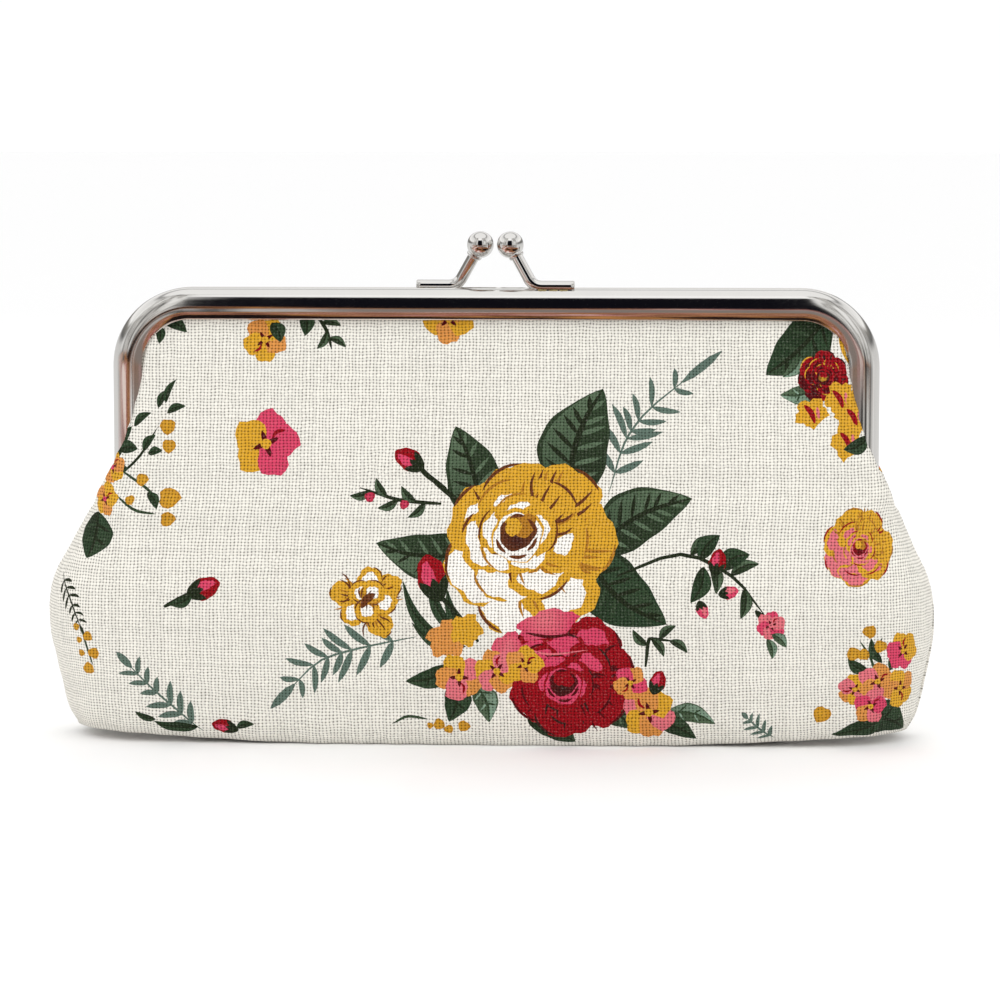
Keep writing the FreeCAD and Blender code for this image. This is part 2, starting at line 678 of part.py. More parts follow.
def export():
    """Check every object and write one STEP file per finished piece."""
    doc.recompute()
    for obj in doc.Objects:
        check(obj)
    os.makedirs("parts", exist_ok=True)
    for obj in finished:
        if obj.Shape.isNull() or not obj.Shape.isValid() or len(obj.Shape.Solids) != 1:
            raise RuntimeError(f"{obj.Name}: not one valid solid")
        obj.Shape.exportStep(f"parts/{obj.Label}.step")
        box = obj.Shape.BoundBox
        print(f"{obj.Label}: {obj.Shape.Volume:.1f} mm3, X {box.XMin:.2f} {box.XMax:.2f}, "
              f"Y {box.YMin:.2f} {box.YMax:.2f}, Z {box.ZMin:.2f} {box.ZMax:.2f}")


def build():
    """Make every piece."""
    pouches = {level: pouch_form(level, depth) for level, depth in LEVELS.items()}
    sleeves = {level: sleeve_form(level, depth) for level, depth in LEVELS.items()}
    make_pouch(pouches)
    for word, side in SIDES:
        make_sleeve(sleeves, word, side)
        make_frame(word, side)
        make_cord(word, side)
        make_clasp(word, side)
    for hand, sign in (("left", -1), ("right", 1)):
        make_rivet(hand, sign)


build()
export()
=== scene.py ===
"""Visual model of the kiss-lock coin purse: cloth, print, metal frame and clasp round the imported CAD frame."""
import math
import random

import bmesh
import bpy
import numpy as np
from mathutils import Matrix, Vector
from mathutils.geometry import delaunay_2d_cdt


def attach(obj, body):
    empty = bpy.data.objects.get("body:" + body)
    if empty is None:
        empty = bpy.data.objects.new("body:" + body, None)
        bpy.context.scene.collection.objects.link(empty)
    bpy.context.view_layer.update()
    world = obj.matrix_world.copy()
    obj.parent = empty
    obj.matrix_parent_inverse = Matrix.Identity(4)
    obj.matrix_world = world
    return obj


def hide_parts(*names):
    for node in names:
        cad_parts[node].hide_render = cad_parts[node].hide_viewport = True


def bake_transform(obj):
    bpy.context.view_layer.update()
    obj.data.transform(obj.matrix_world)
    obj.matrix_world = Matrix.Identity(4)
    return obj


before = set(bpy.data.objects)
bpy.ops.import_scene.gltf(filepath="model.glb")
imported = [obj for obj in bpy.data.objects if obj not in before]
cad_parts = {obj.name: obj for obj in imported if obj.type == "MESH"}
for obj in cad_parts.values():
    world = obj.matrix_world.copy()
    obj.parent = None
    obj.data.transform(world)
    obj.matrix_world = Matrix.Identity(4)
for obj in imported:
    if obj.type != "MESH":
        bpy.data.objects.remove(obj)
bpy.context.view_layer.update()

MM = 0.001

# ---------------------------------------------------------------- sizes, millimetres
FRAME_TOP = 95.3
HALF_FRAME = 81.0
CORNER = 16.0
HINGE_Z = 54.0
ARM_END = 57.6
MOUTH_Y = 0.2
FACE_Y = 4.8
FACE_FRONT = 4.86
WALL = 0.6
EAR_RADIUS = 2.6
BASE_EDGE = 7.0
BASE_TURN = -3.0
BASE_SEAM = -17.0
CLOTH_TOP = 93.0
ARM_LIP = 75.2
LAYER_STOP = 74.3
THREAD_X = 0.75
THREAD_Y = 0.66
# heights between which the side seam opens, where the tucked cloth begins, and where it is fully tucked
OPEN_LOW, OPEN_HIGH = 48.5, 53.0
TUCK_LOW, TUCKED = 52.5, 58.5
BASE_LIFT = 2.2
CLOTH_THICK, PADDING_THICK, LINING_THICK = 0.55, 0.8, 0.3
PADDING_INSET, LINING_INSET = 0.65, 1.55
FOOT_END = 17.0
FOOT_RISE = 0.95
ROD_RADIUS = 1.27
ROD_BEND = 3.2
ROD_SLOPE = math.radians(61)
BALL_X, BALL_RISE, BALL_LEAN = 3.2, 9.0, 2.0
BALL_RADIUS = 2.85
HALF_COLUMNS = 121
ROWS = np.arange(BASE_SEAM, CLOTH_TOP + 0.01, 0.5)
EDGE_GAP = 0.02

# height, half width of the bag seen from the front
HALF_WIDTH = (
    (-1, 88.4), (0, 89.4), (3, 91.2), (6.6, 92.2), (11, 93), (16, 93.9), (22, 94.8), (27, 95), (31, 94.6),
    (35.7, 93.2), (41.5, 90.2), (46, 88), (50, 86), (53, 84.4), (57, 82.4), (60, 80.9), (64, 79.2),
    (70, 77.2), (76, 75.6), (83, 74.1), (88, 72.6), (90, 71.6), (92, 69.5), (94.3, 63),
)
# height, half depth of the bag in the middle
HALF_DEPTH = (
    (-1, 17.2), (0, 17.4), (3, 18.2), (6.6, 18.9), (11, 19.4), (16, 19.8), (22, 20), (27, 20), (32, 19.6),
    (38, 18.6), (44, 17.2), (49, 15.9), (53, 14.7), (57, 13.4), (64, 11.0), (70, 9.1), (76, 7.3), (83, 5.5),
    (87, 4.2), (89, 3.6), (91, 3.46), (94.3, 3.45),
)
# height, edge of the cloth inside the frame channel: sideways, and distance from the mouth plane
EDGE_X = ((52.5, 82.2), (56, 76.5), (58.5, 76.0), (61, 78.0), (84, 78.0), (87, 76.6), (90, 73.6), (93, 69))
EDGE_Y = ((52.5, 5.35), (56, 5.3), (58.5, 4.4), (61, 3.45), (93, 3.45))
# height, sideways drift of the stuffed bag, which hangs a little to the left
DRIFT = ((0, -0.9), (15, -1.1), (30, -1.3), (44, -0.8), (56, 0), (93, 0))
# rolled section of one frame half, from the lip up over the crowned face: radius, first and last slope
FACE_ARCS = ((0.35, -90, -20), (7.0, -20, 3), (5.2, 3, 24), (2.25, 24, 90))
# rings of petals of a rose: count, place, length and width over the radius, share of the heart's
# offset, and how much of the face is lit on the dark side and more on the light side
ROSE_RINGS = (
    (7, 0.60, 0.38, 0.44, 0.20, 0.12, 0.90),
    (6, 0.40, 0.31, 0.37, 0.60, 0.36, 0.62),
    (5, 0.23, 0.22, 0.28, 0.95, 0.50, 0.44),
)


def smooth_table(table):
    """Function that runs smoothly, without overshoot, through (place, value) pairs."""
    x, y = np.array(table, float).T
    step, slope = np.diff(x), np.diff(y) / np.diff(x)
    middle = np.where(slope[1:] * slope[:-1] > 0, 2 * slope[1:] * slope[:-1] / (slope[1:] + slope[:-1] + 1e-12), 0)
    tangent = np.concatenate([[slope[0]], middle, [slope[-1]]])

    def at(where):
        where = np.clip(np.asarray(where, float), x[0], x[-1])
        i = np.clip(np.searchsorted(x, where) - 1, 0, len(step) - 1)
        t = (where - x[i]) / step[i]
        return (
            y[i] * (2 * t**3 - 3 * t**2 + 1)
            + y[i + 1] * (3 * t**2 - 2 * t**3)
            + tangent[i] * step[i] * (t**3 - 2 * t**2 + t)
            + tangent[i + 1] * step[i] * (t**3 - t**2)
        )

    return at


def ease(value, low, high):
    """Smooth step from 0 at low to 1 at high."""
    t = np.clip((np.asarray(value, float) - low) / (high - low), 0, 1)
    return t * t * (3 - 2 * t)


half_width, half_depth = smooth_table(HALF_WIDTH), smooth_table(HALF_DEPTH)
edge_x, edge_y, drift = smooth_table(EDGE_X), smooth_table(EDGE_Y), smooth_table(DRIFT)


def closed_section(a, b):
    """Control points of a section whose front and rear cloth meet at the side seam."""
    r = min(17.0, 0.9 * b)
    front = [(0, b), (0.3 * a, b), (0.6 * a, 0.99 * b), (a - r, 0.965 * b)]
    turns = np.radians([22, 44, 62, 78, 90])
    return np.array(front + [(a - r + r * math.sin(t), 0.965 * b * math.cos(t)) for t in turns])


def lip_place(a):
    """How far the cloth bulges past the frame arm, and 0 to 1 as it starts to."""
    over = max(a - ARM_LIP, 0.0)
    return over, float(ease(over, 0, 1.5))


def cloth_corner(a, b, r, z):
    """Corner points of the outer cloth that folds back behind itself into the frame channel."""
    over, lip = lip_place(a)
    rim = min(5.45 + 0.5 * min(over, 4.0), 0.92 * b)
    tucked_x = min(ARM_LIP, a - 0.3 + 0.6 * (1 - lip)) if z > TUCKED else float(edge_x(z)) + 1.2
    return [
        (a - 0.55 * r, 0.87 * b),
        (a - 0.16 * r, max(0.72 * b, rim + 0.5)),
        (a, rim),
        (a - 0.2 * over, rim - 0.85),
        (tucked_x, 3.75 + 1.6 * lip),
        (float(edge_x(z)), float(edge_y(z))),
    ]


def layer_corner(a, b, r, z, inset):
    """Corner points of a hidden layer, which runs into the channel without the bulge."""
    lip = lip_place(a)[1]
    rim, back = 0.62 * b, 3.5 - inset
    return [
        (a - 0.55 * r, 0.87 * b),
        (a - 0.16 * r, 0.76 * b),
        (a, rim),
        (a + 0.2, 0.5 * (rim + back)),
        (min(ARM_LIP, a - 0.3 + 0.6 * (1 - lip)), back),
        (float(edge_x(z)) - inset * 0.4, float(edge_y(z)) - inset),
    ]


def opening_section(a, b, v, inset):
    """Section between the closed side seam and the cloth tucked into the frame channel."""
    share = float(ease(v, OPEN_LOW, OPEN_HIGH))
    closed = resample(closed_section(a, b), 60)
    r, z = min(12.0, 0.9 * b), max(v, TUCK_LOW)
    if inset:
        a = min(a, LAYER_STOP - 0.5 * inset + 9 * (1 - float(ease(v, 50, 60))))
        corner = layer_corner(a, b, r, z, inset)
    else:
        corner = cloth_corner(a, b, r, z)
    front = [(0, b), (0.3 * a, b), (0.6 * a, 0.985 * b), (a - 1.25 * r, 0.955 * b)]
    return closed * (1 - share) + resample(np.array(front + corner), 60) * share


def round_base(v, inset):
    """Height of the cloth round the bottom edge, and how far the section shrinks towards the base seam."""
    if v >= BASE_EDGE:
        return v, 1.0
    edge_radius = BASE_EDGE - inset
    turn = float(np.clip((BASE_EDGE - v) / (BASE_EDGE - BASE_TURN), 0, 1)) * math.pi / 2
    inward = edge_radius * (1 - math.cos(turn))
    shrink = 1 - inward * 0.45 / (float(half_depth(BASE_EDGE)) - inset)
    past_turn = max(0.0, BASE_TURN - v) / (BASE_TURN - BASE_SEAM)
    return inset + edge_radius * (1 - math.sin(turn)), shrink * (1 - min(1.0, past_turn))


def section(v, inset):
    """Points (x, y, z) of the right half of the front cloth at one height, middle to edge, and its length."""
    lift, shrink = round_base(v, inset)
    a = float(half_width(lift)) - inset - max(0.0, BASE_TURN - v) * 0.25
    b = float(half_depth(max(lift, 3.0))) - inset
    if v > OPEN_LOW:
        points = opening_section(a, b, v, inset)
    else:
        points = resample(closed_section(a, b), 240)
    flat, length = evenly(points * (1, -shrink), HALF_COLUMNS)
    return np.column_stack([flat, np.full(HALF_COLUMNS, lift)]), length


def evenly(line, count):
    """Evenly spaced points along a polyline, and its length."""
    along = np.concatenate([[0], np.cumsum(np.linalg.norm(np.diff(line, axis=0), axis=1))])
    even = np.linspace(0, along[-1], count)
    return np.stack([np.interp(even, along, line[:, 0]), np.interp(even, along, line[:, 1])], 1), along[-1]


def resample(points, count):
    """Even points along the smooth curve through control points."""
    return evenly(catmull(points, 16), count)[0]


def catmull(points, steps):
    """Smooth curve through 2D points, with its tangents weighted by spacing; mirrored at x = 0."""
    padded = np.vstack([points[1] * (-1, 1), points, 2 * points[-1] - points[-2]])
    out = []
    for i in range(len(points) - 1):
        p0, p1, p2, p3 = padded[i:i + 4]
        d1, d2, d3 = (max(1e-6, np.linalg.norm(q - p)) for p, q in ((p0, p1), (p1, p2), (p2, p3)))
        m1 = (p2 - p1) / d2 * 0.5 + (p1 - p0) / d1 * 0.5
        m2 = (p3 - p2) / d3 * 0.5 + (p2 - p1) / d2 * 0.5
        for t in np.linspace(0, 1, steps, endpoint=False):
            out.append(
                p1 * (2 * t**3 - 3 * t**2 + 1) + p2 * (3 * t**2 - 2 * t**3)
                + m1 * d2 * (t**3 - 2 * t**2 + t) + m2 * d2 * (t**3 - t**2)
            )
    out.append(points[-1])
    return np.array(out)


def undulations(s, v, seed):
    """Long soft waves in random directions."""
    rng = np.random.default_rng(seed)
    out = np.zeros_like(s)
    for _ in range(7):
        kx, kv = rng.uniform(0.03, 0.10), rng.uniform(0.03, 0.09)
        phase = rng.uniform(0, 6.28, 2)
        out += rng.uniform(0.10, 0.22) * np.sin(kx * s + phase[0]) * np.sin(kv * v + phase[1])
    return out


def hinge_folds(s, v, to_seam):
    """Folds that fan out below both ends of the frame."""
    out = np.zeros_like(s)
    for sign in (-1, 1):
        dx, dv = s - sign * 84.0, v - 51.0
        angle, far = np.arctan2(dv, -sign * dx), np.hypot(dx, dv)
        fold = 0.9 * np.cos(angle * 3.1 + 0.8) * np.exp(-far / 17.0) * ease(far, 0, 9)
        out += fold * (1 - ease(v, 60, 74)) * ease(to_seam, 2, 14)
    return out


def wrinkles(s, v, reach, seed):
    """Height of the unevenness of the stuffed cloth, in millimetres."""
    to_seam = reach - np.abs(s)
    pucker = 0.35 * np.sin(v * 0.62 + 1.3 * np.sin(v * 0.23 + seed)) * np.exp(-to_seam / 6.0)
    groove = 0.45 * np.exp(-(to_seam / 1.2) ** 2)
    seam = (pucker * ease(to_seam, 1, 8) - groove) * (1 - ease(v, 46, 52)) * ease(v, -4, 6)
    hem = 0.28 * np.sin(s * 0.62 + 1.7 * np.sin(s * 0.13 + seed)) * np.exp(-((v - 1.0) / 5.0) ** 2)
    out = undulations(s, v, seed) + seam + hem * ease(to_seam, 0, 14) + hinge_folds(s, v, to_seam)
    return out * (1 - ease(v, 84, 90)) * ease(v, BASE_TURN - 2, BASE_TURN + 4)


class Bag:
    """Surface of one side of the bag over (s, v): sideways and upward millimetres on the cloth."""

    def __init__(self, seed, side, inset=0.0):
        halves = [section(v, inset) for v in ROWS]
        right = np.array([h for h, _ in halves])
        self.reach = np.array([length for _, length in halves])
        left = right[:, :0:-1] * (-1, 1, 1)
        self.grid = np.concatenate([left, right], 1)
        down, across = np.gradient(self.grid, axis=(0, 1))
        normal = np.cross(across, down)
        normal /= np.maximum(np.linalg.norm(normal, axis=2, keepdims=True), 1e-9)
        self.normal = normal
        spread = np.linspace(-1, 1, self.grid.shape[1])
        s = spread[None, :] * self.reach[:, None]
        v = np.repeat(ROWS[:, None], s.shape[1], 1)
        self.grid = self.grid + normal * wrinkles(s, v, self.reach[:, None], seed)[..., None]
        corner = ease(np.abs(self.grid[..., 0]), 30, 92) * (1 - ease(self.grid[..., 2], 0, 30))
        self.grid[..., 2] += BASE_LIFT * corner
        self.grid[..., 0] += drift(self.grid[..., 2]) * -side

    def edge(self, v):
        """Cloth length from the middle to the side edge at height v."""
        return np.interp(v, ROWS, self.reach)

    def at(self, s, v, depth):
        """Points in space, depth millimetres under the cloth's outside."""
        s, v = np.asarray(s, float), np.asarray(v, float)
        row = np.clip((v - ROWS[0]) / (ROWS[1] - ROWS[0]), 0, len(ROWS) - 1.001)
        column = (s / self.edge(v) + 1) / 2 * (self.grid.shape[1] - 1)
        column = np.clip(column, 0, self.grid.shape[1] - 1.001)
        i, j = row.astype(int), column.astype(int)
        f, g = (row - i)[:, None], (column - j)[:, None]

        def pick(table):
            return (
                table[i, j] * (1 - f) * (1 - g) + table[i + 1, j] * f * (1 - g)
                + table[i, j + 1] * (1 - f) * g + table[i + 1, j + 1] * f * g
            )

        return pick(self.grid) - pick(self.normal) * depth


# ---------------------------------------------------------------- print
GROUND = (0.77, 0.745, 0.68)
WHITE = (0.86, 0.83, 0.78)
MUSTARD = (0.62, 0.325, 0.022)
OCHRE = (0.40, 0.17, 0.014)
BROWN = (0.13, 0.035, 0.008)
HEART = (0.045, 0.010, 0.008)
CRIMSON = (0.27, 0.001, 0.006)
DARK_RED = (0.085, 0.001, 0.003)
PINK = (0.60, 0.050, 0.115)
ROSE = (0.66, 0.15, 0.18)
ORANGE = (0.62, 0.25, 0.055)
LEAF_DARK = (0.014, 0.022, 0.008)
LEAF = (0.030, 0.054, 0.025)
LEAF_LIGHT = (0.085, 0.130, 0.075)
FERN = (0.10, 0.15, 0.12)
LEAF_TONES = (LEAF_DARK, LEAF, LEAF_LIGHT)
YELLOW_ROSE = (MUSTARD, WHITE, BROWN, HEART)
RED_ROSE = (CRIMSON, PINK, DARK_RED, HEART)
SHADE = (LEAF_DARK, (0.022, 0.05, 0.022), LEAF)
PALE = (LEAF, LEAF_LIGHT, (0.2, 0.30, 0.22))
PINK_YELLOW_ROSE = (MUSTARD, ROSE, CRIMSON, DARK_RED)
inks = []


def ink(points, colour, second=None, centre=None, radius=1.0):
    """Add one printed shape; with a second colour it shades outwards from centre over radius."""
    points = np.asarray(points, float)
    x, y = points.T
    if np.sum(x * np.roll(y, -1) - np.roll(x, -1) * y) < 0:
        points = points[::-1]
    centre = points.mean(0) if centre is None else np.array(centre, float)
    inks.append((points, np.array(colour), None if second is None else np.array(second), centre, radius))


def blob(x, y, rx, ry, turn=0.0, ruffle=0.08, lobes=5, phase=0.0, count=26):
    """Rounded shape with a wavy edge."""
    t = np.linspace(0, 2 * math.pi, count, endpoint=False)
    wave = 1 + ruffle * np.sin(lobes * t + phase) + ruffle * 0.6 * np.sin((2 * lobes + 1) * t + 2.1 * phase)
    px, py = rx * wave * np.cos(t), ry * wave * np.sin(t)
    c, s = math.cos(turn), math.sin(turn)
    return np.stack([x + px * c - py * s, y + px * s + py * c], 1)


def curve_points(points, count):
    """Smooth open curve through a few points."""
    points = np.array(points, float)
    if len(points) == 2:
        return points[0] + (points[1] - points[0]) * np.linspace(0, 1, count)[:, None]
    place = np.linspace(0, 1, len(points))
    t = np.linspace(0, 1, count)
    x = smooth_table(list(zip(place, points[:, 0])))(t)
    y = smooth_table(list(zip(place, points[:, 1])))(t)
    return np.stack([x, y], 1)


def stroke(points, width, colour, ends=(0.25, 0.1), count=9):
    """Tapered brush line along a curve."""
    line = curve_points(points, count)
    way = np.gradient(line, axis=0)
    way /= np.maximum(np.linalg.norm(way, axis=1, keepdims=True), 1e-9)
    side = np.stack([-way[:, 1], way[:, 0]], 1)
    t = np.linspace(0, 1, count)
    wide = width / 2 * (np.sin(math.pi * t) ** 0.6 + (1 - t) * ends[0] + t * ends[1] + 0.02)
    ink(np.vstack([line + side * wide[:, None], (line - side * wide[:, None])[::-1]]), colour)


def leaf(base, tip, width, tone=LEAF_TONES, veins=0, bend=0.12):
    """Leaf with a light half and a midrib; with veins also side veins and an uneven edge."""
    base, tip = np.array(base, float), np.array(tip, float)
    way = tip - base
    length = np.hypot(*way)
    side = np.array([-way[1], way[0]]) / max(1e-6, length)
    count = 25 if veins else 15
    t = np.linspace(0, 1, count)
    spine = base + way * t[:, None] + side * (np.sin(math.pi * t) * bend * length)[:, None]
    swell = width / 2 * np.sin(math.pi * t**0.85) ** 0.85
    jag = 1 + 0.025 * np.sin(t * 21) * (veins > 0)
    left = spine + side * (swell * jag)[:, None]
    right = spine - side * (swell * jag * 0.92)[:, None]
    dark, middle, light = tone
    ink(np.vstack([left, right[::-1]]), dark, middle, base, length)
    inner = spine + side * (swell * 0.86)[:, None]
    ink(np.vstack([inner[1:-1], spine[-2:0:-1]]), middle, light, base, length * 0.9)
    for k in range(veins):
        i = int((k + 1) / (veins + 1.5) * (count - 1))
        j = min(count - 1, i + count // 7)
        reach = side * swell[j] * 0.78
        stroke([spine[i], spine[j] + reach], width * 0.05 + 0.1, dark, count=4)
        stroke([spine[i], spine[j] - reach], width * 0.05 + 0.1, light, count=4)
    stroke([spine[0], spine[count // 3], spine[2 * count // 3], spine[-1]], width * 0.06 + 0.12, dark)


def leaves(x, y, rows, flip=1):
    """Leaves given as base, tip, width, tones and any further leaf settings, all relative to (x, y)."""
    for base_x, base_y, tip_x, tip_y, *rest in rows:
        leaf((x + flip * base_x, y + base_y), (x + flip * tip_x, y + tip_y), *rest)


def petal(x, y, across, along, angle, tones, lit, rng, shift=0.0):
    """Ruffled petal: a rim tone, a paler face that leaves more or less rim showing, and fold strokes."""
    rim, face, line = tones
    c, n = math.cos(angle), math.sin(angle)
    shade = OCHRE if rim is MUSTARD else DARK_RED

    def spot(forward, aside):
        return x + forward * c - aside * n, y + forward * n + aside * c

    ink(blob(x, y, along, across, angle, 0.06, 5, rng.uniform(0, 6), 34), shade, rim, spot(-along, 0), along * 1.2)
    if lit > 0.4:
        middle = spot(shift * along, 0)
        ink(blob(*middle, along * lit, across * lit, angle, 0.085, 4, rng.uniform(0, 6), 30), face)
    strokes = 7 if lit > 0.4 else 11
    for k in range(strokes):
        spread = (k - (strokes - 1) / 2) * 2.0 / strokes + rng.uniform(-0.14, 0.14)
        start = rng.uniform(0.1, 0.8) if strokes > 7 else 0.9
        bx, by = spot(-along * start, across * 0.55 * spread)
        length = rng.uniform(0.45, 1.2) * along
        heading = angle + spread * 0.8
        tx, ty = bx + length * math.cos(heading), by + length * math.sin(heading)
        lean = 0.2 * length * spread
        middle = ((bx + tx) / 2 - lean * n, (by + ty) / 2 + lean * c)
        tone = (line, shade, line)[k % 3]
        stroke([(bx, by), middle, (tx, ty)], 0.045 * across + 0.13, tone, ends=(0.8, 0.05), count=6)
    first = rng.uniform(-1.4, -0.2)
    turns = np.linspace(first, first + rng.uniform(0.7, 1.6), 5)
    edge = [spot(along * 0.985 * math.cos(w), across * 0.985 * math.sin(w)) for w in turns]
    stroke(edge, 0.07 * across + 0.1, line, ends=(0.05, 0.05), count=10)


def rose(x, y, r, tones, seed, squash=1.0, heart=(0, 0), light=4.0, fade=1.3):
    """Full rose: three rings of ruffled petals, palest towards the light side, round a cupped bud."""
    rim, face, line, core = tones
    fold = OCHRE if rim is MUSTARD else core
    rng = random.Random(seed)
    for count, out, along, across, follow, dim, gain in ROSE_RINGS:
        cx, cy = x + heart[0] * follow, y + heart[1] * follow
        turn = rng.uniform(0, 6)
        step = 2 * math.pi / count
        for k in sorted(range(count), key=lambda k: -math.cos(turn + k * step - light)):
            angle = turn + k * step + rng.uniform(-0.12, 0.12)
            d = out * r * rng.uniform(0.95, 1.05)
            toward = (0.5 + 0.5 * math.cos(angle - light)) ** fade
            lit = min(0.94, dim + gain * toward) * rng.uniform(0.94, 1.02)
            place = (cx + d * math.cos(angle), cy + d * math.sin(angle) * squash)
            petal_tones = (rim, face, line if rng.random() < 0.6 else fold)
            petal(*place, across * r, along * r, angle, petal_tones, lit, rng, 0.05)
    rose_heart(x + heart[0], y + heart[1], r, tones)


def rose_heart(x, y, r, tones):
    """Cupped bud in the middle of a rose."""
    rim, face, line, core = tones
    fold = OCHRE if rim is MUSTARD else rim
    ink(blob(x, y - 0.02 * r, 0.29 * r, 0.30 * r, 0.3, 0.05, 4, 1.0), rim)
    ink(blob(x, y - 0.04 * r, 0.27 * r, 0.27 * r, 0.3, 0.05, 4, 1.0), face)
    ink(blob(x, y + 0.01 * r, 0.21 * r, 0.19 * r, 0.4, 0.05, 3, 2.0), core, line, (x, y - 0.06 * r), 0.22 * r)
    ink(blob(x + 0.07 * r, y + 0.09 * r, 0.14 * r, 0.12 * r, 0.9, 0.07, 3, 2.0), fold)
    ink(blob(x - 0.06 * r, y + 0.08 * r, 0.11 * r, 0.09 * r, 2.0, 0.07, 3, 1.0), rim)
    for w, far in ((0.2, 0.19), (1.3, 0.20), (2.4, 0.18), (3.4, 0.24), (4.4, 0.26), (5.3, 0.22)):
        arc = [(x + far * r * math.cos(w + t), y + far * r * math.sin(w + t)) for t in (0, 0.4, 0.8)]
        stroke(arc, 0.035 * r, line)


def fern(points, length, count, tone=FERN, width=1.3, fan=0.9):
    """Feathery sprig: a thin stem with narrow leaflets on both sides."""
    line = curve_points(points, 24)
    stroke(points, 0.4, tone, count=10)
    for k in range(count):
        t = 0.15 + 0.85 * k / count
        i = int(t * 23)
        way = line[min(23, i + 1)] - line[i - 1]
        heading = math.atan2(way[1], way[0])
        size_now = length * (1 - 0.45 * t) * (0.85 + 0.3 * ((k * 7) % 3) / 2)
        for sign in (-1, 1):
            angle = heading + sign * fan
            tip = line[i] + size_now * np.array([math.cos(angle), math.sin(angle)])
            body = [line[i], (line[i] + tip) / 2 + sign * 0.25, tip]
            stroke(body, width * (1 - 0.3 * t), tone, ends=(0.1, 0.05), count=6)
    stroke([line[-3], line[-1] + (line[-1] - line[-4])], width, tone, count=5)


def dot(x, y, r, colour=MUSTARD, shade=OCHRE):
    """Berry or tiny bud."""
    ink(blob(x, y, r, r * 0.95, 0, 0.10, 3, x, 12), colour, shade, (x, y), r * 1.6)


def bud(x, y, r, way, tones=(CRIMSON, PINK), stem=None):
    """Closed rosebud pointing along way (radians) with its calyx behind it."""
    c, s = math.cos(way), math.sin(way)
    if stem is not None:
        middle = ((x + stem[0]) / 2 - 0.3, (y + stem[1]) / 2)
        stroke([(x - c * r, y - s * r), middle, stem], 0.55, LEAF_DARK, ends=(1, 1))
    ink(blob(x, y, r * 1.25, r * 0.9, way, 0.06, 3, 1.0), tones[0])
    lit = (x + c * r * 0.15 - s * r * 0.2, y + s * r * 0.15 + c * r * 0.2)
    ink(blob(*lit, r * 0.75, r * 0.38, way, 0.12, 3, 2.0), tones[1])
    base = (x - c * r * 1.5, y - s * r * 1.5)
    for turn in (-0.55, 0.0, 0.55):
        end = (x - c * r * 0.1 - s * turn * r * 1.5, y - s * r * 0.1 + c * turn * r * 1.5)
        middle = ((base[0] + end[0]) / 2, (base[1] + end[1]) / 2)
        stroke([base, middle, end], r * 0.5, LEAF_DARK, count=6)


def dots(x, y, rows, flip=1):
    """Berries given as place and radius relative to (x, y)."""
    for dx, dy, r in rows:
        dot(x + flip * dx, y + dy, r)


def blossom(x, y, r, tones, seed, centre=MUSTARD, split=None):
    """Small open flower of five or six ruffled petals."""
    rng = random.Random(seed)
    count = 5 + seed % 2
    turn = rng.uniform(0, 6)
    for k in range(count):
        angle = turn + k * 2 * math.pi / count
        px, py = x + 0.52 * r * math.cos(angle), y + 0.52 * r * math.sin(angle)
        tone = tones[k % len(tones)]
        if split is not None:
            tone = tones[0] if math.cos(angle - split) > 0 else tones[1]
        ink(blob(px, py, 0.52 * r, 0.50 * r, angle, 0.09, 4, rng.uniform(0, 6), 16), tone)
        fold = [
            (px + 0.34 * r * math.cos(angle + w), py + 0.34 * r * math.sin(angle + w)) for w in (1.2, 2.0, 2.8)
        ]
        stroke(fold, 0.10 * r, CRIMSON if tone != CRIMSON else DARK_RED, count=6)
    for k in range(4):
        angle = turn + 0.5 + k * 1.6
        tip = (x + 0.42 * r * math.cos(angle), y + 0.42 * r * math.sin(angle))
        stroke([(x, y), tip], 0.13 * r, DARK_RED, count=5)
    ink(blob(x, y, 0.17 * r, 0.16 * r, 0, 0.1, 3, 0, 10), centre)


def sprig(points, places, size_now):
    """Thin stem with small leaves given as (share along the stem, turn from it)."""
    line = curve_points(points, 24)
    stroke(points, 0.5, LEAF_DARK, ends=(0.8, 0.3), count=10)
    for share, side in places:
        i = int(share * 22)
        way = line[i + 1] - line[i]
        angle = math.atan2(way[1], way[0]) + side
        tip = line[i] + size_now * np.array([math.cos(angle), math.sin(angle)])
        leaf(line[i], tip, size_now * 0.42)


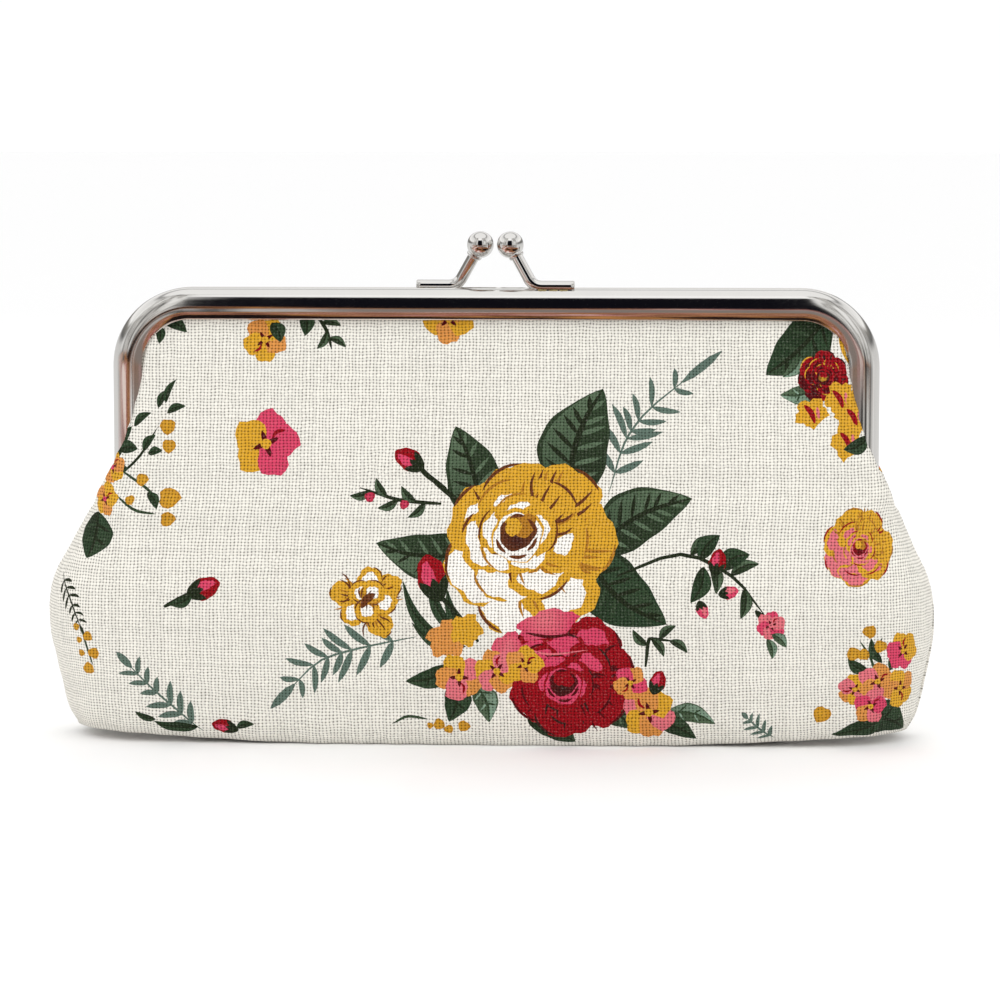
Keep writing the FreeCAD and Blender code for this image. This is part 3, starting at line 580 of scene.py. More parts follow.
def bouquet(x, y):
    """The big bunch: yellow rose above a red one, ringed with leaves, ferns and small flowers."""
    fern([(x + 15, y + 12), (x + 18, y + 22), (x + 22, y + 28), (x + 33.5, y + 37.5)], 8.2, 7, width=1.5)
    fern([(x - 24, y - 18), (x - 36, y - 20.5), (x - 44, y - 23), (x - 52, y - 30.5)], 8.0, 7, width=1.6)
    leaves(x, y, (
        (-11.5, 5, -17.5, 25.5, 12.0, LEAF_TONES, 6, -0.05), (7, 9, 13.5, 33.5, 15.5, LEAF_TONES, 7, 0.10),
        (-10, 0.5, -33, 1.5, 10.5, LEAF_TONES, 6, 0.10), (12, -1, 32.5, 11, 12.5, LEAF_TONES, 7, 0.10),
        (11, 1, 28.5, -15, 13.5, SHADE, 6, -0.12),
    ))
    right_twig(x, y)
    left_twig(x, y)
    for k, (dx, dy) in enumerate(((-27, -6), (-25, -15), (-21, -3.5), (-19.5, -16), (-17.5, -8))):
        leaf((x - 14 + 0.4 * k, y - 21 + k), (x + dx, y + dy), 2.6, SHADE, bend=0.15)
    bud(x - 20.8, y - 5.4, 3.6, 1.9, stem=(x - 11, y - 19))
    small_yellow(x - 34.4, y - 10.4)
    leaves(x, y, (
        (-16, -24, -26.5, -27.5, 4.6, SHADE, 2, 0.1), (-16, -27, -17.5, -36, 6.0, SHADE, 2),
        (-12, -28, -9, -36, 5.4, PALE, 2), (12, -32, 21, -37, 6.5, LEAF_TONES, 3),
        (-1, -35, 9, -41, 6.5, SHADE, 3), (28, -34, 38.5, -36.5, 4.2, PALE, 2), (26, -36, 34.5, -40, 4.0, SHADE, 2),
    ))
    two_roses(x, y)
    blossom(x - 15.2, y - 26.6, 4.9, (ORANGE, ROSE, MUSTARD), 2)
    blossom(x - 7.2, y - 25.2, 4.6, (ORANGE, MUSTARD, ROSE), 7)
    blossom(x - 1.4, y - 23.8, 4.0, (MUSTARD, ORANGE), 4)
    blossom(x + 24.6, y - 33.8, 5.4, (ROSE, MUSTARD, ORANGE), 9)
    blossom(x + 20.8, y - 27.4, 3.6, (ORANGE, PINK), 6)
    bud(x + 26.5, y - 27.2, 1.9, 1.2)
    twig_leaves = ((0.35, 0.9), (0.6, -0.9), (0.8, 0.8), (0.97, -0.5))
    sprig([(x + 24, y - 24), (x + 25, y - 18), (x + 30, y - 18.5)], twig_leaves, 4.6)
    dots(x, y, ((-19.6, -36.5, 1.2), (-17.6, -37.6, 1.0), (-14.4, -37, 1.3), (-21.5, -36.8, 0.7)))
    stroke([(x - 22, y - 35.5), (x - 26, y - 35), (x - 29.5, y - 36.5)], 0.5, LEAF)


def right_twig(x, y):
    """Twig with buds and one pink blossom on the right of the bouquet."""
    line = [(x + 18, y - 5), (x + 31, y - 0.5), (x + 42, y - 5), (x + 49, y - 13)]
    sprig(line, ((0.45, 0.9), (0.55, -0.9), (0.7, 1.0), (0.82, -0.8)), 6.4)
    leaves(x, y, (
        (35, -1.5, 39, 3.5, 4.2, SHADE), (39, -3.5, 45.5, -0.5, 4.4, SHADE), (36, -3, 33.5, -10.5, 4.0, SHADE),
    ))
    bud(x + 38.8, y - 2, 2.0, 1.4)
    bud(x + 41.5, y - 8.3, 1.5, 0.2, (PINK, ROSE))
    bud(x + 36, y - 12, 1.4, -1.2, (PINK, ROSE))
    stroke([(x + 47, y - 12), (x + 50, y - 15)], 1.2, LEAF_DARK)
    blossom(x + 50.3, y - 15.2, 3.0, (PINK, ROSE), 3, ROSE)
    leaves(x, y, ((50.5, -17, 53.5, -20, 2.4, PALE), (49.5, -18, 50.5, -22.5, 2.2, PALE)))


def left_twig(x, y):
    """Big rosebud and a berry twig on the upper left of the bouquet."""
    stroke([(x - 15, y + 9), (x - 19, y + 12), (x - 22.5, y + 14.5)], 0.9, LEAF_DARK)
    bud(x - 27.3, y + 18.6, 2.5, 2.6, stem=(x - 19.2, y + 12.6))
    twig_leaves = ((0.25, 0.8), (0.4, -0.7), (0.6, 0.6), (0.75, -0.7), (0.95, 0.5))
    sprig([(x - 20, y + 9.6), (x - 28, y + 10.2), (x - 37.5, y + 12.8)], twig_leaves, 4.6)
    dot(x - 27.8, y + 9.4, 1.0, PINK, CRIMSON)
    dot(x - 35.2, y + 10.9, 1.1, PINK, CRIMSON)


def small_yellow(x, y):
    """Loose yellow flower on the left of the bouquet."""
    rng = random.Random(8)
    for k in range(9):
        ring, turn = k // 3, 0.5 + k * 2.4
        reach = (4.6, 3.4, 1.8)[ring]
        place = (x + reach * math.cos(turn), y + 1.2 * reach * math.sin(turn))
        petal(*place, 2.7, 3.4 - 0.4 * ring, turn, (MUSTARD, WHITE, BROWN), (0.0, 0.62, 0.5)[ring], rng)
    stroke([(x - 1.1, y - 1.6), (x, y + 0.4), (x + 1.8, y + 1.4)], 1.3, BROWN)


def two_roses(x, y):
    """Yellow rose with the red one in front of it."""
    rose(x, y, 18.8, YELLOW_ROSE, 11, 0.98, heart=(-3.4, 3.6), light=4.1)
    ink(blob(x - 17.5, y - 18.5, 4.2, 3.8, 0.4, 0.14, 5, 2.0), ORANGE)
    ink(blob(x - 13.5, y - 16.5, 3.4, 3.2, 1.0, 0.14, 5, 0.7), MUSTARD)
    rose(x + 8.3, y - 25.3, 14.2, RED_ROSE, 5, 0.92, heart=(-1.6, -2.4), light=1.9, fade=2.6)
    ink(blob(x + 3.5, y - 15.2, 6.4, 3.0, 0.25, 0.10, 5, 1.0), ROSE, PINK, (x + 3, y - 14), 6)
    ink(blob(x - 5.0, y - 20.2, 3.6, 2.8, 0.9, 0.12, 4, 0.3), ROSE, PINK, (x - 5, y - 20), 4)
    stroke([(x - 1, y - 17), (x + 4, y - 17.8), (x + 9.5, y - 17)], 0.6, DARK_RED)
    stroke([(x - 2, y - 20), (x + 4, y - 21.5), (x + 12, y - 20.5)], 0.35, ROSE)


def berry_spray(x, y, flip=1):
    """Spray of yellow buds and two starry flowers on dark twigs."""
    stroke([(x - flip * 9, y - 3), (x - flip * 2, y + 3), (x + flip * 2, y + 9)], 0.5, LEAF_DARK)
    stroke([(x - flip * 8, y + 1), (x, y - 3.5), (x + flip * 4, y - 7)], 0.5, LEAF)
    stroke([(x - flip * 7, y - 5), (x - flip * 1, y - 8.5), (x + flip * 3, y - 9)], 0.5, LEAF)
    leaves(x, y, (
        (-8, 2, -4, 9, 3.6, SHADE), (-7, 4, -2.5, 4.5, 2.8, SHADE), (-3.5, 9, 0.5, 12, 1.8, SHADE),
        (-1.2, 4, 1.6, 7.5, 2.0, SHADE), (0, 3.5, 3.2, 4.2, 1.8, SHADE), (-9.5, -2, -4.6, 0.6, 3.4, SHADE),
        (0.5, -4.5, 3, -8, 2.2, SHADE), (-10, 8, -9, 13, 1.4, SHADE), (2, 13, 4.5, 17, 1.8, SHADE),
        (4, 12, 8, 13.5, 1.8, SHADE), (3.6, 14, 5.8, 19, 1.5, SHADE),
    ), flip)
    dots(x, y, (
        (4.2, 9.2, 1.7), (4.6, 5.2, 1.5), (-1.0, -1.8, 1.4), (5.4, -5.6, 2.3), (5.6, -10, 1.6), (-3.1, -6.2, 1.1),
    ), flip)
    blossom(x - flip * 8.6, y + 0.4, 3.2, (MUSTARD, ORANGE), 3, PINK)
    blossom(x - flip * 9.6, y - 6.2, 3.5, (MUSTARD, ORANGE), 8, PINK)
    leaf((x - flip * 12, y - 9), (x - flip * 12.5, y - 18.5), 9.5, SHADE, 2)


def corner_bunch(x, y, flip=1):
    """Orange and pink flowers on dark leaves with yellow buds above."""
    leaves(x, y, (
        (-4, -5, 9, -9.5, 9, SHADE, 3), (2, -4, -10, -8.5, 5.5, SHADE, 2), (-2, 6, -6.5, 9.5, 2.8, SHADE),
        (1, 8, -1.5, 14, 2.2, SHADE), (3, 6, 6, 11, 2.4, SHADE),
    ), flip)
    stroke([(x, y + 3), (x - flip * 1.5, y + 9), (x - flip * 4, y + 13.5)], 0.5, LEAF)
    stroke([(x - flip * 1.5, y + 9), (x + flip * 1.0, y + 14)], 0.5, LEAF)
    blossom(x - flip * 5, y + 2.0, 3.6, (ORANGE, MUSTARD, ROSE), 5)
    blossom(x, y + 3.6, 4.4, (ORANGE, ROSE), 8)
    blossom(x + flip * 6.2, y + 1.5, 4.6, (MUSTARD, ORANGE), 2)
    blossom(x - flip * 1.5, y - 2.2, 3.8, (ROSE, PINK, ORANGE), 4)
    blossom(x + flip * 6.4, y + 10.5, 4.4, (MUSTARD, PINK), 7, split=0.6)
    dots(x, y, ((-1.8, 15.4, 1.5), (-5.2, 10.4, 1.6), (-3.2, 10.2, 1.4), (0.6, 12, 1.5), (-12, -3.4, 1.9)), flip)


def red_corner(x, y):
    """Dark red rose with yellow and red flowers hanging from it, by the right end of the frame."""
    leaves(x, y, (
        (1.4, 13.4, -12.1, 0.4, 11, SHADE, 4, 0.06), (-4.6, 4.4, -8.6, -0.1, 2.8, PALE),
        (-0.6, -1.6, -9.1, -3.8, 4.4, PALE, 2),
    ))
    rose(x, y, 5.6, (CRIMSON, DARK_RED, HEART, MUSTARD), 14)
    hanging = (
        (-2.5, -7.5, 3.4, 0.3), (3.5, -4.5, 3.4, 1.2), (6.6, -8.4, 3.8, 0.2), (5.2, -13.2, 3.8, 1.4),
        (8.2, -4.2, 3.2, 0.8),
    )
    for dx, dy, r, turn in hanging:
        px, py = x + dx, y + dy
        ink(blob(px, py, r, r * 0.85, turn, 0.14, 5, dx), MUSTARD)
        stroke([(px - 1.5, py + 1.6), (px, py), (px + 0.8, py - 2.2)], 1.0, CRIMSON)
        stroke([(px + 1.2, py + 1.2), (px + 1.6, py - 1.2)], 0.6, ROSE)
    leaf((x + 10.4, y - 12.6), (x + 4.4, y - 15), 3.4, SHADE)
    stroke([(x + 3.4, y + 8.4), (x + 4.9, y + 4.4), (x + 7.4, y + 1.9)], 0.9, MUSTARD)


def left_fern(x, y):
    """Dark fern with yellow berries below it, at the left side seam."""
    fern([(x - 7, y + 11.5), (x - 3, y + 6), (x, y)], 3.6, 6, LEAF_DARK, 0.7)
    stroke([(x, y), (x + 1.5, y - 5), (x + 2.5, y - 8.5)], 0.45, LEAF)
    dots(x, y, (
        (-1.5, 0.5, 0.9), (1.5, -1.5, 1.2), (-0.8, -2.5, 0.8), (2.8, -5.4, 1.4), (-0.4, -5.6, 0.9),
        (1.2, -9.2, 1.5),
    ))


def front_print():
    """Layout of the front panel."""
    bouquet(9.7, 41.5)
    blossom(-48, 63.3, 6.9, (PINK, MUSTARD), 4, split=0.2)
    rose(78.3, 42.5, 8.2, PINK_YELLOW_ROSE, 21)
    bud(-59, 33.4, 2.6, 0.35, stem=(-67.5, 29.5))
    leaf((-61.5, 32), (-66.5, 30), 2.4, SHADE)
    blossom(-48.8, 85, 4.6, (MUSTARD, ORANGE), 6)
    leaf((-47.5, 88.5), (-45.4, 84.5), 3.4, SHADE)
    leaf((-40.8, 91), (-40.2, 85.8), 3.4, SHADE)
    sprig([(-38.5, 91), (-35.5, 86.5), (-34.5, 83)], ((0.3, 0.8), (0.5, -0.9), (0.7, 0.8)), 4.2)
    leaf((-71, 89), (-65.5, 86.5), 3.0, SHADE)
    leaf((-72, 88), (-71.5, 84), 2.2, SHADE)
    blossom(-9.7, 89.5, 5.2, (MUSTARD, ORANGE), 10)
    red_corner(69.6, 77.6)
    berry_spray(-73.4, 57.6)
    left_fern(-86, 24)
    fern([(-60, 2.0), (-65.5, 6.5), (-71, 11.5), (-76, 17)], 6.0, 6, FERN, 1.5, 0.85)
    leaf((-61, 3), (-70.5, 3.6), 3.0, SHADE)
    leaf((-70, 4), (-74.5, 5.4), 1.8, SHADE)
    bud(-55.5, 3.2, 2.0, 2.9)
    leaf((-53, 3), (-49, 4.4), 1.8, SHADE)
    corner_bunch(82.5, 9.5)
    fern([(60.5, 0.5), (57.5, 3.5), (54.5, 6.5)], 3.6, 4, FERN, 0.9)
    sprig([(-60, -6), (-20, -10), (30, -8)], ((0.2, 0.8), (0.5, -0.8), (0.8, 0.8)), 6)


def rear_print():
    """Layout of the rear panel: another stretch of the same cloth."""
    bouquet(-22, 45)
    blossom(42, 70, 6.9, (PINK, MUSTARD), 5, split=2.6)
    rose(66, 24, 8.2, PINK_YELLOW_ROSE, 23)
    rose(-78, 60, 8.2, PINK_YELLOW_ROSE, 25)
    bud(58, 52, 2.6, 0.35, stem=(49.5, 48))
    leaf((55, 50.5), (50, 48.5), 2.4, SHADE)
    berry_spray(70, 68, -1)
    corner_bunch(-78, 12, -1)
    fern([(36, 8), (44, 12), (50, 18)], 6.0, 6, FERN, 1.5, 0.85)
    fern([(-60, 88), (-66, 84), (-70, 78)], 5.0, 6, FERN, 1.3, 0.85)
    blossom(8, 86, 5.0, (MUSTARD, ORANGE), 12)
    leaf((12, 89), (16, 84), 3.6, SHADE)
    fern([(90, 36), (86, 30), (84, 24)], 3.6, 6, LEAF_DARK, 0.7)
    blossom(40, -4, 5.0, (CRIMSON, PINK), 13)


# ---------------------------------------------------------------- cloth meshes
def outline(bag, low, high, inset=0.0):
    """Edge of the cloth over (s, v) between two heights."""
    v = np.concatenate([np.arange(low, high, 1.2), [high]])
    right = np.stack([bag.edge(v) - inset, v], 1)
    return np.vstack([right, right[::-1] * (-1, 1)])


def grid_points(bag, low, high):
    """Even points inside the cloth, closer together round the bottom edge and near the sides."""
    heights = np.concatenate([
        np.arange(low, 11, 1.3), np.arange(11, 50, 2.1), np.arange(50, 62, 1.2), np.arange(62, high, 1.9),
    ])
    out = []
    for v in heights[1:]:
        half = float(bag.edge(v)) - EDGE_GAP
        inner = np.linspace(0, half - 22, 32)
        outer = np.linspace(half - 22, half, 20)[1:-1]
        for s in np.concatenate([inner, outer]):
            out += [(s, v), (-s, v)] if s > 0 else [(0.0, v)]
    return [Vector(place) for place in out]


def within_cloth(bag, shape, low, high):
    """Printed outline kept inside the edge of the cloth."""
    v = np.clip(shape[:, 1], low + 0.02, high - 0.02)
    limit = bag.edge(v) - EDGE_GAP - 0.02
    return np.stack([np.clip(shape[:, 0], -limit, limit), v], 1)


def shade_of(owner, corners):
    """Colour of each corner of a triangle that lies in the printed shapes named by owner."""
    if max(owner) == 0:
        return np.repeat([GROUND], len(corners), 0)
    _, first, second, centre, radius = inks[max(owner) - 1]
    if second is None:
        return np.repeat([first], len(corners), 0)
    share = np.clip(np.linalg.norm(corners - centre, axis=1) / radius, 0, 1)[:, None]
    return first * (1 - share) + second * share


def printed_mesh(bag, low, high):
    """Flat cloth cut along every printed outline: points, triangles and a colour for each corner."""
    shapes = [outline(bag, low, high, EDGE_GAP)]
    shapes += [within_cloth(bag, shape, low, high) for shape, *_ in inks]
    points, faces = [], []
    for shape in shapes:
        faces.append(list(range(len(points), len(points) + len(shape))))
        points += [Vector(place) for place in shape]
    points += grid_points(bag, low, high)
    verts, _, triangles, _, _, owners = delaunay_2d_cdt(points, [], faces, 1, 1e-5, True)
    flat = np.array([tuple(v) for v in verts])
    kept = [(list(triangle), owner) for triangle, owner in zip(triangles, owners) if owner]
    return flat, [triangle for triangle, _ in kept], [shade_of(owner, flat[triangle]) for triangle, owner in kept]


def new_object(name, mesh, material):
    """Link a mesh as a smooth-shaded piece."""
    piece = bpy.data.objects.new(name, mesh)
    bpy.context.scene.collection.objects.link(piece)
    mesh.materials.append(material)
    mesh.shade_smooth()
    return piece


def from_bmesh(name, bm, material, sharp=None):
    """Piece from a bmesh; edges sharper than the given angle in degrees stay crisp."""
    mesh = bpy.data.meshes.new(name)
    bm.to_mesh(mesh)
    bm.free()
    piece = new_object(name, mesh, material)
    if sharp is not None:
        mesh.set_sharp_from_angle(angle=math.radians(sharp))
    return piece


def bridge(bm, rings):
    """Join neighbouring rings of points with faces."""
    for first, second in zip(rings, rings[1:]):
        for i in range(len(first)):
            j = (i + 1) % len(first)
            bm.faces.new((first[i], first[j], second[j], second[i]))


def turned(points, side):
    """Half a turn about the upright axis for the rear."""
    return points * (-1, -1, 1) if side > 0 else points


def rim_loop(triangles):
    """Corner numbers round the edge of a patch of triangles, in order."""
    sides = {pair for a, b, c in triangles for pair in ((a, b), (b, c), (c, a))}
    after = {a: b for a, b in sides if (b, a) not in sides}
    loop = [next(iter(after))]
    while after[loop[-1]] != loop[0]:
        loop.append(after[loop[-1]])
    return loop


def plain_back(bag, rim, low, high):
    """Unprinted back of the cloth inside the given rim: points, triangles and each rim point's number."""
    points = [Vector(p) for p in rim] + grid_points(bag, low, high)
    verts, _, triangles, sources, _, owners = delaunay_2d_cdt(points, [], [list(range(len(rim)))], 1, 1e-6, True)
    number = {source: i for i, found in enumerate(sources) for source in found}
    kept = [list(triangle) for triangle, owner in zip(triangles, owners) if owner]
    return np.array([tuple(v) for v in verts]), kept, [number[i] for i in range(len(rim))]


def two_sided(name, bag, side, flat, faces, thick, back=None):
    """Mesh with its faces on the cloth's outside and, thick millimetres under it, on the back."""
    back = flat if back is None else back
    outside = turned(bag.at(flat[:, 0], flat[:, 1], 0.0), side) * MM
    inside = turned(bag.at(back[:, 0], back[:, 1], thick), side) * MM
    mesh = bpy.data.meshes.new(name)
    mesh.from_pydata(np.vstack([outside, inside]).tolist(), [], faces)
    weave_uv(mesh, np.vstack([flat, back]))
    return mesh


def paint(mesh, colours):
    """Store one colour for each corner of the mesh."""
    rgba = np.ones((len(colours), 4), np.float32)
    rgba[:, :3] = colours
    mesh.color_attributes.new("print", "FLOAT_COLOR", "CORNER").data.foreach_set("color", rgba.ravel())


def cloth_panel(name, bag, side, material):
    """Printed outer cloth as one closed sheet, cut along the print."""
    flat, triangles, colours = printed_mesh(bag, BASE_SEAM, CLOTH_TOP)
    loop = rim_loop(triangles)
    back, back_triangles, back_loop = plain_back(bag, flat[loop], BASE_SEAM, CLOTH_TOP)
    count = len(flat)
    faces = triangles + [[c + count, b + count, a + count] for a, b, c in back_triangles]
    after, back_after = loop[1:] + loop[:1], back_loop[1:] + back_loop[:1]
    faces += [[b, a, c + count, d + count] for a, b, c, d in zip(loop, after, back_loop, back_after)]
    mesh = two_sided(name, bag, side, flat, faces, CLOTH_THICK, back)
    plain = 3 * len(back_triangles) + 4 * len(loop)
    paint(mesh, np.concatenate(colours + [np.repeat([GROUND], plain, 0)]))
    return new_object(name, mesh, material)


def weave_uv(mesh, flat):
    """UV map in hundreds of millimetres on the flat cloth."""
    layer = mesh.uv_layers.new(name="weave")
    corners = np.zeros(len(mesh.loops), int)
    mesh.loops.foreach_get("vertex_index", corners)
    layer.data.foreach_set("uv", (flat[corners] / 100.0).ravel())


def soft_layer(name, bag, side, thick, material, high, trim, rows=90, columns=150):
    """Closed sheet that lies on its own surface under the outer cloth."""
    heights = np.linspace(BASE_SEAM, high, rows)
    even = np.linspace(-1, 1, columns)
    spread = np.sign(even) * np.abs(even) ** 0.75
    s = spread[None, :] * (bag.edge(heights)[:, None] - trim)
    flat = np.stack([s.ravel(), np.repeat(heights, columns)], 1)
    number = np.arange(rows * columns).reshape(rows, columns)
    quads = np.stack([number[:-1, :-1], number[:-1, 1:], number[1:, 1:], number[1:, :-1]], 2).reshape(-1, 4)
    border = np.concatenate([number[0], number[1:, -1], number[-1, -2::-1], number[-2:0:-1, 0]])
    after, count = np.roll(border, -1), rows * columns
    rim = np.stack([after, border, border + count, after + count], 1)
    faces = np.vstack([quads, quads[:, ::-1] + count, rim]).tolist()
    return new_object(name, two_sided(name, bag, side, flat, faces, thick), material)


# ---------------------------------------------------------------- materials
class Nodes:
    """Short-hand for building a material's node tree."""

    def __init__(self, name):
        self.material = bpy.data.materials.new(name)
        self.material.use_nodes = True
        self.tree = self.material.node_tree
        self.shader = next(n for n in self.tree.nodes if n.type == "BSDF_PRINCIPLED")

    def add(self, kind, **values):
        node = self.tree.nodes.new(kind)
        for key, value in values.items():
            setattr(node, key, value)
        return node

    def put(self, socket, value):
        if isinstance(value, bpy.types.NodeSocket):
            self.tree.links.new(value, socket)
        else:
            socket.default_value = value

    def math(self, operation, a, b=0.0, c=0.0):
        node = self.add("ShaderNodeMath", operation=operation)
        for socket, value in zip(node.inputs, (a, b, c)):
            self.put(socket, value)
        return node.outputs[0]

    def plus(self, a, b):
        return self.math("ADD", a, b)

    def minus(self, a, b):
        return self.math("SUBTRACT", a, b)

    def times(self, a, b):
        return self.math("MULTIPLY", a, b)

    def scaled(self, a, factor, offset):
        return self.math("MULTIPLY_ADD", a, factor, offset)

    def object_place(self):
        return self.add("ShaderNodeTexCoord").outputs["Object"]

    def split(self, vector):
        node = self.add("ShaderNodeSeparateXYZ")
        self.put(node.inputs[0], vector)
        return node.outputs

    def combine(self, a, b, c, kind="ShaderNodeCombineXYZ"):
        node = self.add(kind)
        for socket, value in zip(node.inputs, (a, b, c)):
            self.put(socket, value)
        return node.outputs[0]

    def random(self, value):
        node = self.add("ShaderNodeTexWhiteNoise", noise_dimensions="1D")
        self.put(node.inputs["W"], value)
        return node.outputs[0]

    def mix(self, share, a, b, blend="MIX"):
        node = self.add("ShaderNodeMix", data_type="RGBA", blend_type=blend)
        self.put(node.inputs[0], share)
        for socket, value in zip(node.inputs[6:8], (a, b)):
            self.put(socket, value if isinstance(value, bpy.types.NodeSocket) else (*value, 1.0))
        return node.outputs[2]

    def noise(self, vector, scale, detail=2.0, rough=0.5):
        node = self.add("ShaderNodeTexNoise")
        self.put(node.inputs["Vector"], vector)
        for key, value in (("Scale", scale), ("Detail", detail), ("Roughness", rough)):
            node.inputs[key].default_value = value
        return node.outputs["Fac"]

    def remap(self, value, low, high, to_low, to_high):
        node = self.add("ShaderNodeMapRange")
        for socket, number in zip(node.inputs, (value, low, high, to_low, to_high)):
            self.put(socket, number)
        return node.outputs[0]

    def bump(self, height, strength, distance):
        node = self.add("ShaderNodeBump")
        node.inputs["Strength"].default_value = strength
        node.inputs["Distance"].default_value = distance
        self.put(node.inputs["Height"], height)
        self.put(self.shader.inputs["Normal"], node.outputs[0])

    def set(self, **values):
        for key, value in values.items():
            self.put(self.shader.inputs[key.replace("_", " ")], value)


def weave_nodes(nodes, pitch_x, pitch_y):
    """Plain weave over the cloth's own UV map: height, hole mask and a random value for each thread."""
    uv = nodes.add("ShaderNodeUVMap", uv_map="weave").outputs[0]
    across, up, _ = nodes.split(uv)
    shift = nodes.scaled(nodes.noise(uv, 30.0, 2.0), 0.9, -0.45)
    x = nodes.plus(nodes.times(across, 100.0 / pitch_x), shift)
    y = nodes.plus(nodes.times(up, 100.0 / pitch_y), shift)
    column, row = nodes.math("FLOOR", x), nodes.math("FLOOR", y)
    cx = nodes.math("ABSOLUTE", nodes.minus(nodes.math("FRACT", x), 0.5))
    cy = nodes.math("ABSOLUTE", nodes.minus(nodes.math("FRACT", y), 0.5))
    odd = nodes.math("ABSOLUTE", nodes.math("MODULO", nodes.plus(column, row), 2.0))
    even = nodes.minus(1.0, odd)
    dome_x = nodes.minus(1.0, nodes.times(nodes.times(cx, cx), 4.0))
    dome_y = nodes.minus(1.0, nodes.times(nodes.times(cy, cy), 4.0))
    warp = nodes.times(nodes.math("POWER", dome_x, 0.7), nodes.scaled(dome_y, 0.45, 0.55))
    weft = nodes.times(nodes.math("POWER", dome_y, 0.7), nodes.scaled(dome_x, 0.45, 0.55))
    height = nodes.plus(nodes.times(warp, odd), nodes.times(weft, even))
    corner = nodes.times(cx, nodes.scaled(cy, 0.84, 0.08))
    row_value = nodes.random(nodes.plus(row, 500.0))
    thread = nodes.plus(nodes.times(nodes.random(column), odd), nodes.times(row_value, even))
    return uv, height, corner, thread


def cloth_material():
    """Printed off-white plain weave."""
    nodes = Nodes("printed_cloth")
    uv, height, corner, thread = weave_nodes(nodes, THREAD_X, THREAD_Y)
    paint_colour = nodes.add("ShaderNodeAttribute", attribute_name="print").outputs["Color"]
    slub = nodes.noise(uv, 55.0, 3.0)
    uneven = nodes.plus(nodes.scaled(thread, 0.13, -0.065), nodes.scaled(slub, 0.16, -0.08))
    # Painted shade: the thread crests are lighter and the dips between the threads darker; the thread and slub
    # noise adds each thread's own uneven tone.
    shade = nodes.plus(nodes.remap(height, 0.1, 0.9, 0.84, 1.12), uneven)
    grey = nodes.combine(shade, shade, shade, "ShaderNodeCombineColor")
    toned = nodes.mix(1.0, paint_colour, grey, "MULTIPLY")
    flecks = nodes.remap(nodes.noise(uv, 230.0, 2.0, 0.7), 0.52, 0.70, 0.0, 0.12)
    shaded_and_worn = nodes.mix(nodes.times(flecks, nodes.remap(height, 0.4, 0.9, 0.0, 1.0)), toned, GROUND)
    # Painted shade: the holes between the threads are darkened, over the bare ground and over the inks alike.
    gap_size = nodes.scaled(slub, 0.09, 0.078)
    gap = nodes.remap(nodes.minus(corner, gap_size), 0.0, 0.04, 0.0, 0.82)
    colour = nodes.mix(gap, shaded_and_worn, (0.13, 0.115, 0.10), "MULTIPLY")
    nodes.set(Base_Color=colour, Roughness=nodes.remap(height, 0.0, 1.0, 0.95, 0.82))
    nodes.set(Specular_IOR_Level=0.10, Sheen_Weight=0.02, Sheen_Roughness=0.5)
    nodes.bump(height, 0.6, 0.00022)
    return nodes.material


def lining_material():
    """Plain smooth cream cotton lining."""
    nodes = Nodes("lining_cloth")
    uv, height, _, thread = weave_nodes(nodes, 0.34, 0.34)
    slub = nodes.noise(uv, 40.0, 3.0)
    # Painted shade: the thread crests are lighter and the dips between them darker; the slub noise adds the
    # cotton's own uneven tone.
    share = nodes.plus(nodes.remap(height, 0.1, 1.0, 0.25, 0.9), nodes.scaled(slub, 0.2, -0.1))
    nodes.set(Base_Color=nodes.mix(share, (0.52, 0.46, 0.37), (0.74, 0.69, 0.58)))
    nodes.set(Roughness=nodes.remap(thread, 0, 1, 0.7, 0.85), Specular_IOR_Level=0.3, Sheen_Weight=0.1)
    nodes.bump(height, 0.4, 0.00008)
    return nodes.material


def padding_material():
    """White non-woven interlining."""
    nodes = Nodes("interlining")
    uv = nodes.add("ShaderNodeUVMap", uv_map="weave").outputs[0]
    fibres = nodes.noise(uv, 160.0, 6.0, 0.7)
    nodes.set(Base_Color=nodes.mix(fibres, (0.70, 0.69, 0.66), (0.90, 0.90, 0.88)))
    nodes.set(Roughness=nodes.remap(fibres, 0, 1, 0.85, 1.0))
    nodes.bump(fibres, 0.5, 0.0003)
    return nodes.material


def metal_material(name, tint=(0.80, 0.785, 0.76), rough=0.07):
    """Bright nickel plate with faint polishing marks and a little haze."""
    nodes = Nodes(name)
    where = nodes.object_place()
    haze = nodes.noise(where, 90.0, 4.0, 0.6)
    marks = nodes.noise(where, 900.0, 3.0, 0.6)
    tone = tuple(channel * 0.93 for channel in tint)
    nodes.set(Base_Color=nodes.mix(haze, tone, tint), Metallic=1.0)
    haze_rough = nodes.remap(haze, 0.3, 0.7, rough * 0.7, rough * 1.3)
    nodes.set(Roughness=nodes.plus(haze_rough, nodes.times(marks, 0.03)))
    nodes.bump(nodes.noise(where, 260.0, 2.0), 0.02, 0.0002)
    return nodes.material


def cord_material():
    """Twisted kraft paper cord."""
    nodes = Nodes("paper_cord")
    where = nodes.object_place()
    x, y, z = nodes.split(where)
    run = nodes.plus(nodes.plus(x, z), y)
    twist = nodes.math("ABSOLUTE", nodes.math("SINE", nodes.times(run, 2600.0)))
    fibres = nodes.noise(where, 1500.0, 3.0)
    # Painted shade: lighter on the ridges of the twist and darker in its grooves; the fibre noise adds the paper's
    # own uneven tone.
    share = nodes.scaled(fibres, 0.5, nodes.times(twist, 0.5))
    nodes.set(Base_Color=nodes.mix(share, (0.33, 0.22, 0.11), (0.62, 0.48, 0.29)))
    nodes.set(Roughness=nodes.remap(fibres, 0, 1, 0.75, 0.95))
    nodes.bump(twist, 0.6, 0.0002)
    return nodes.material


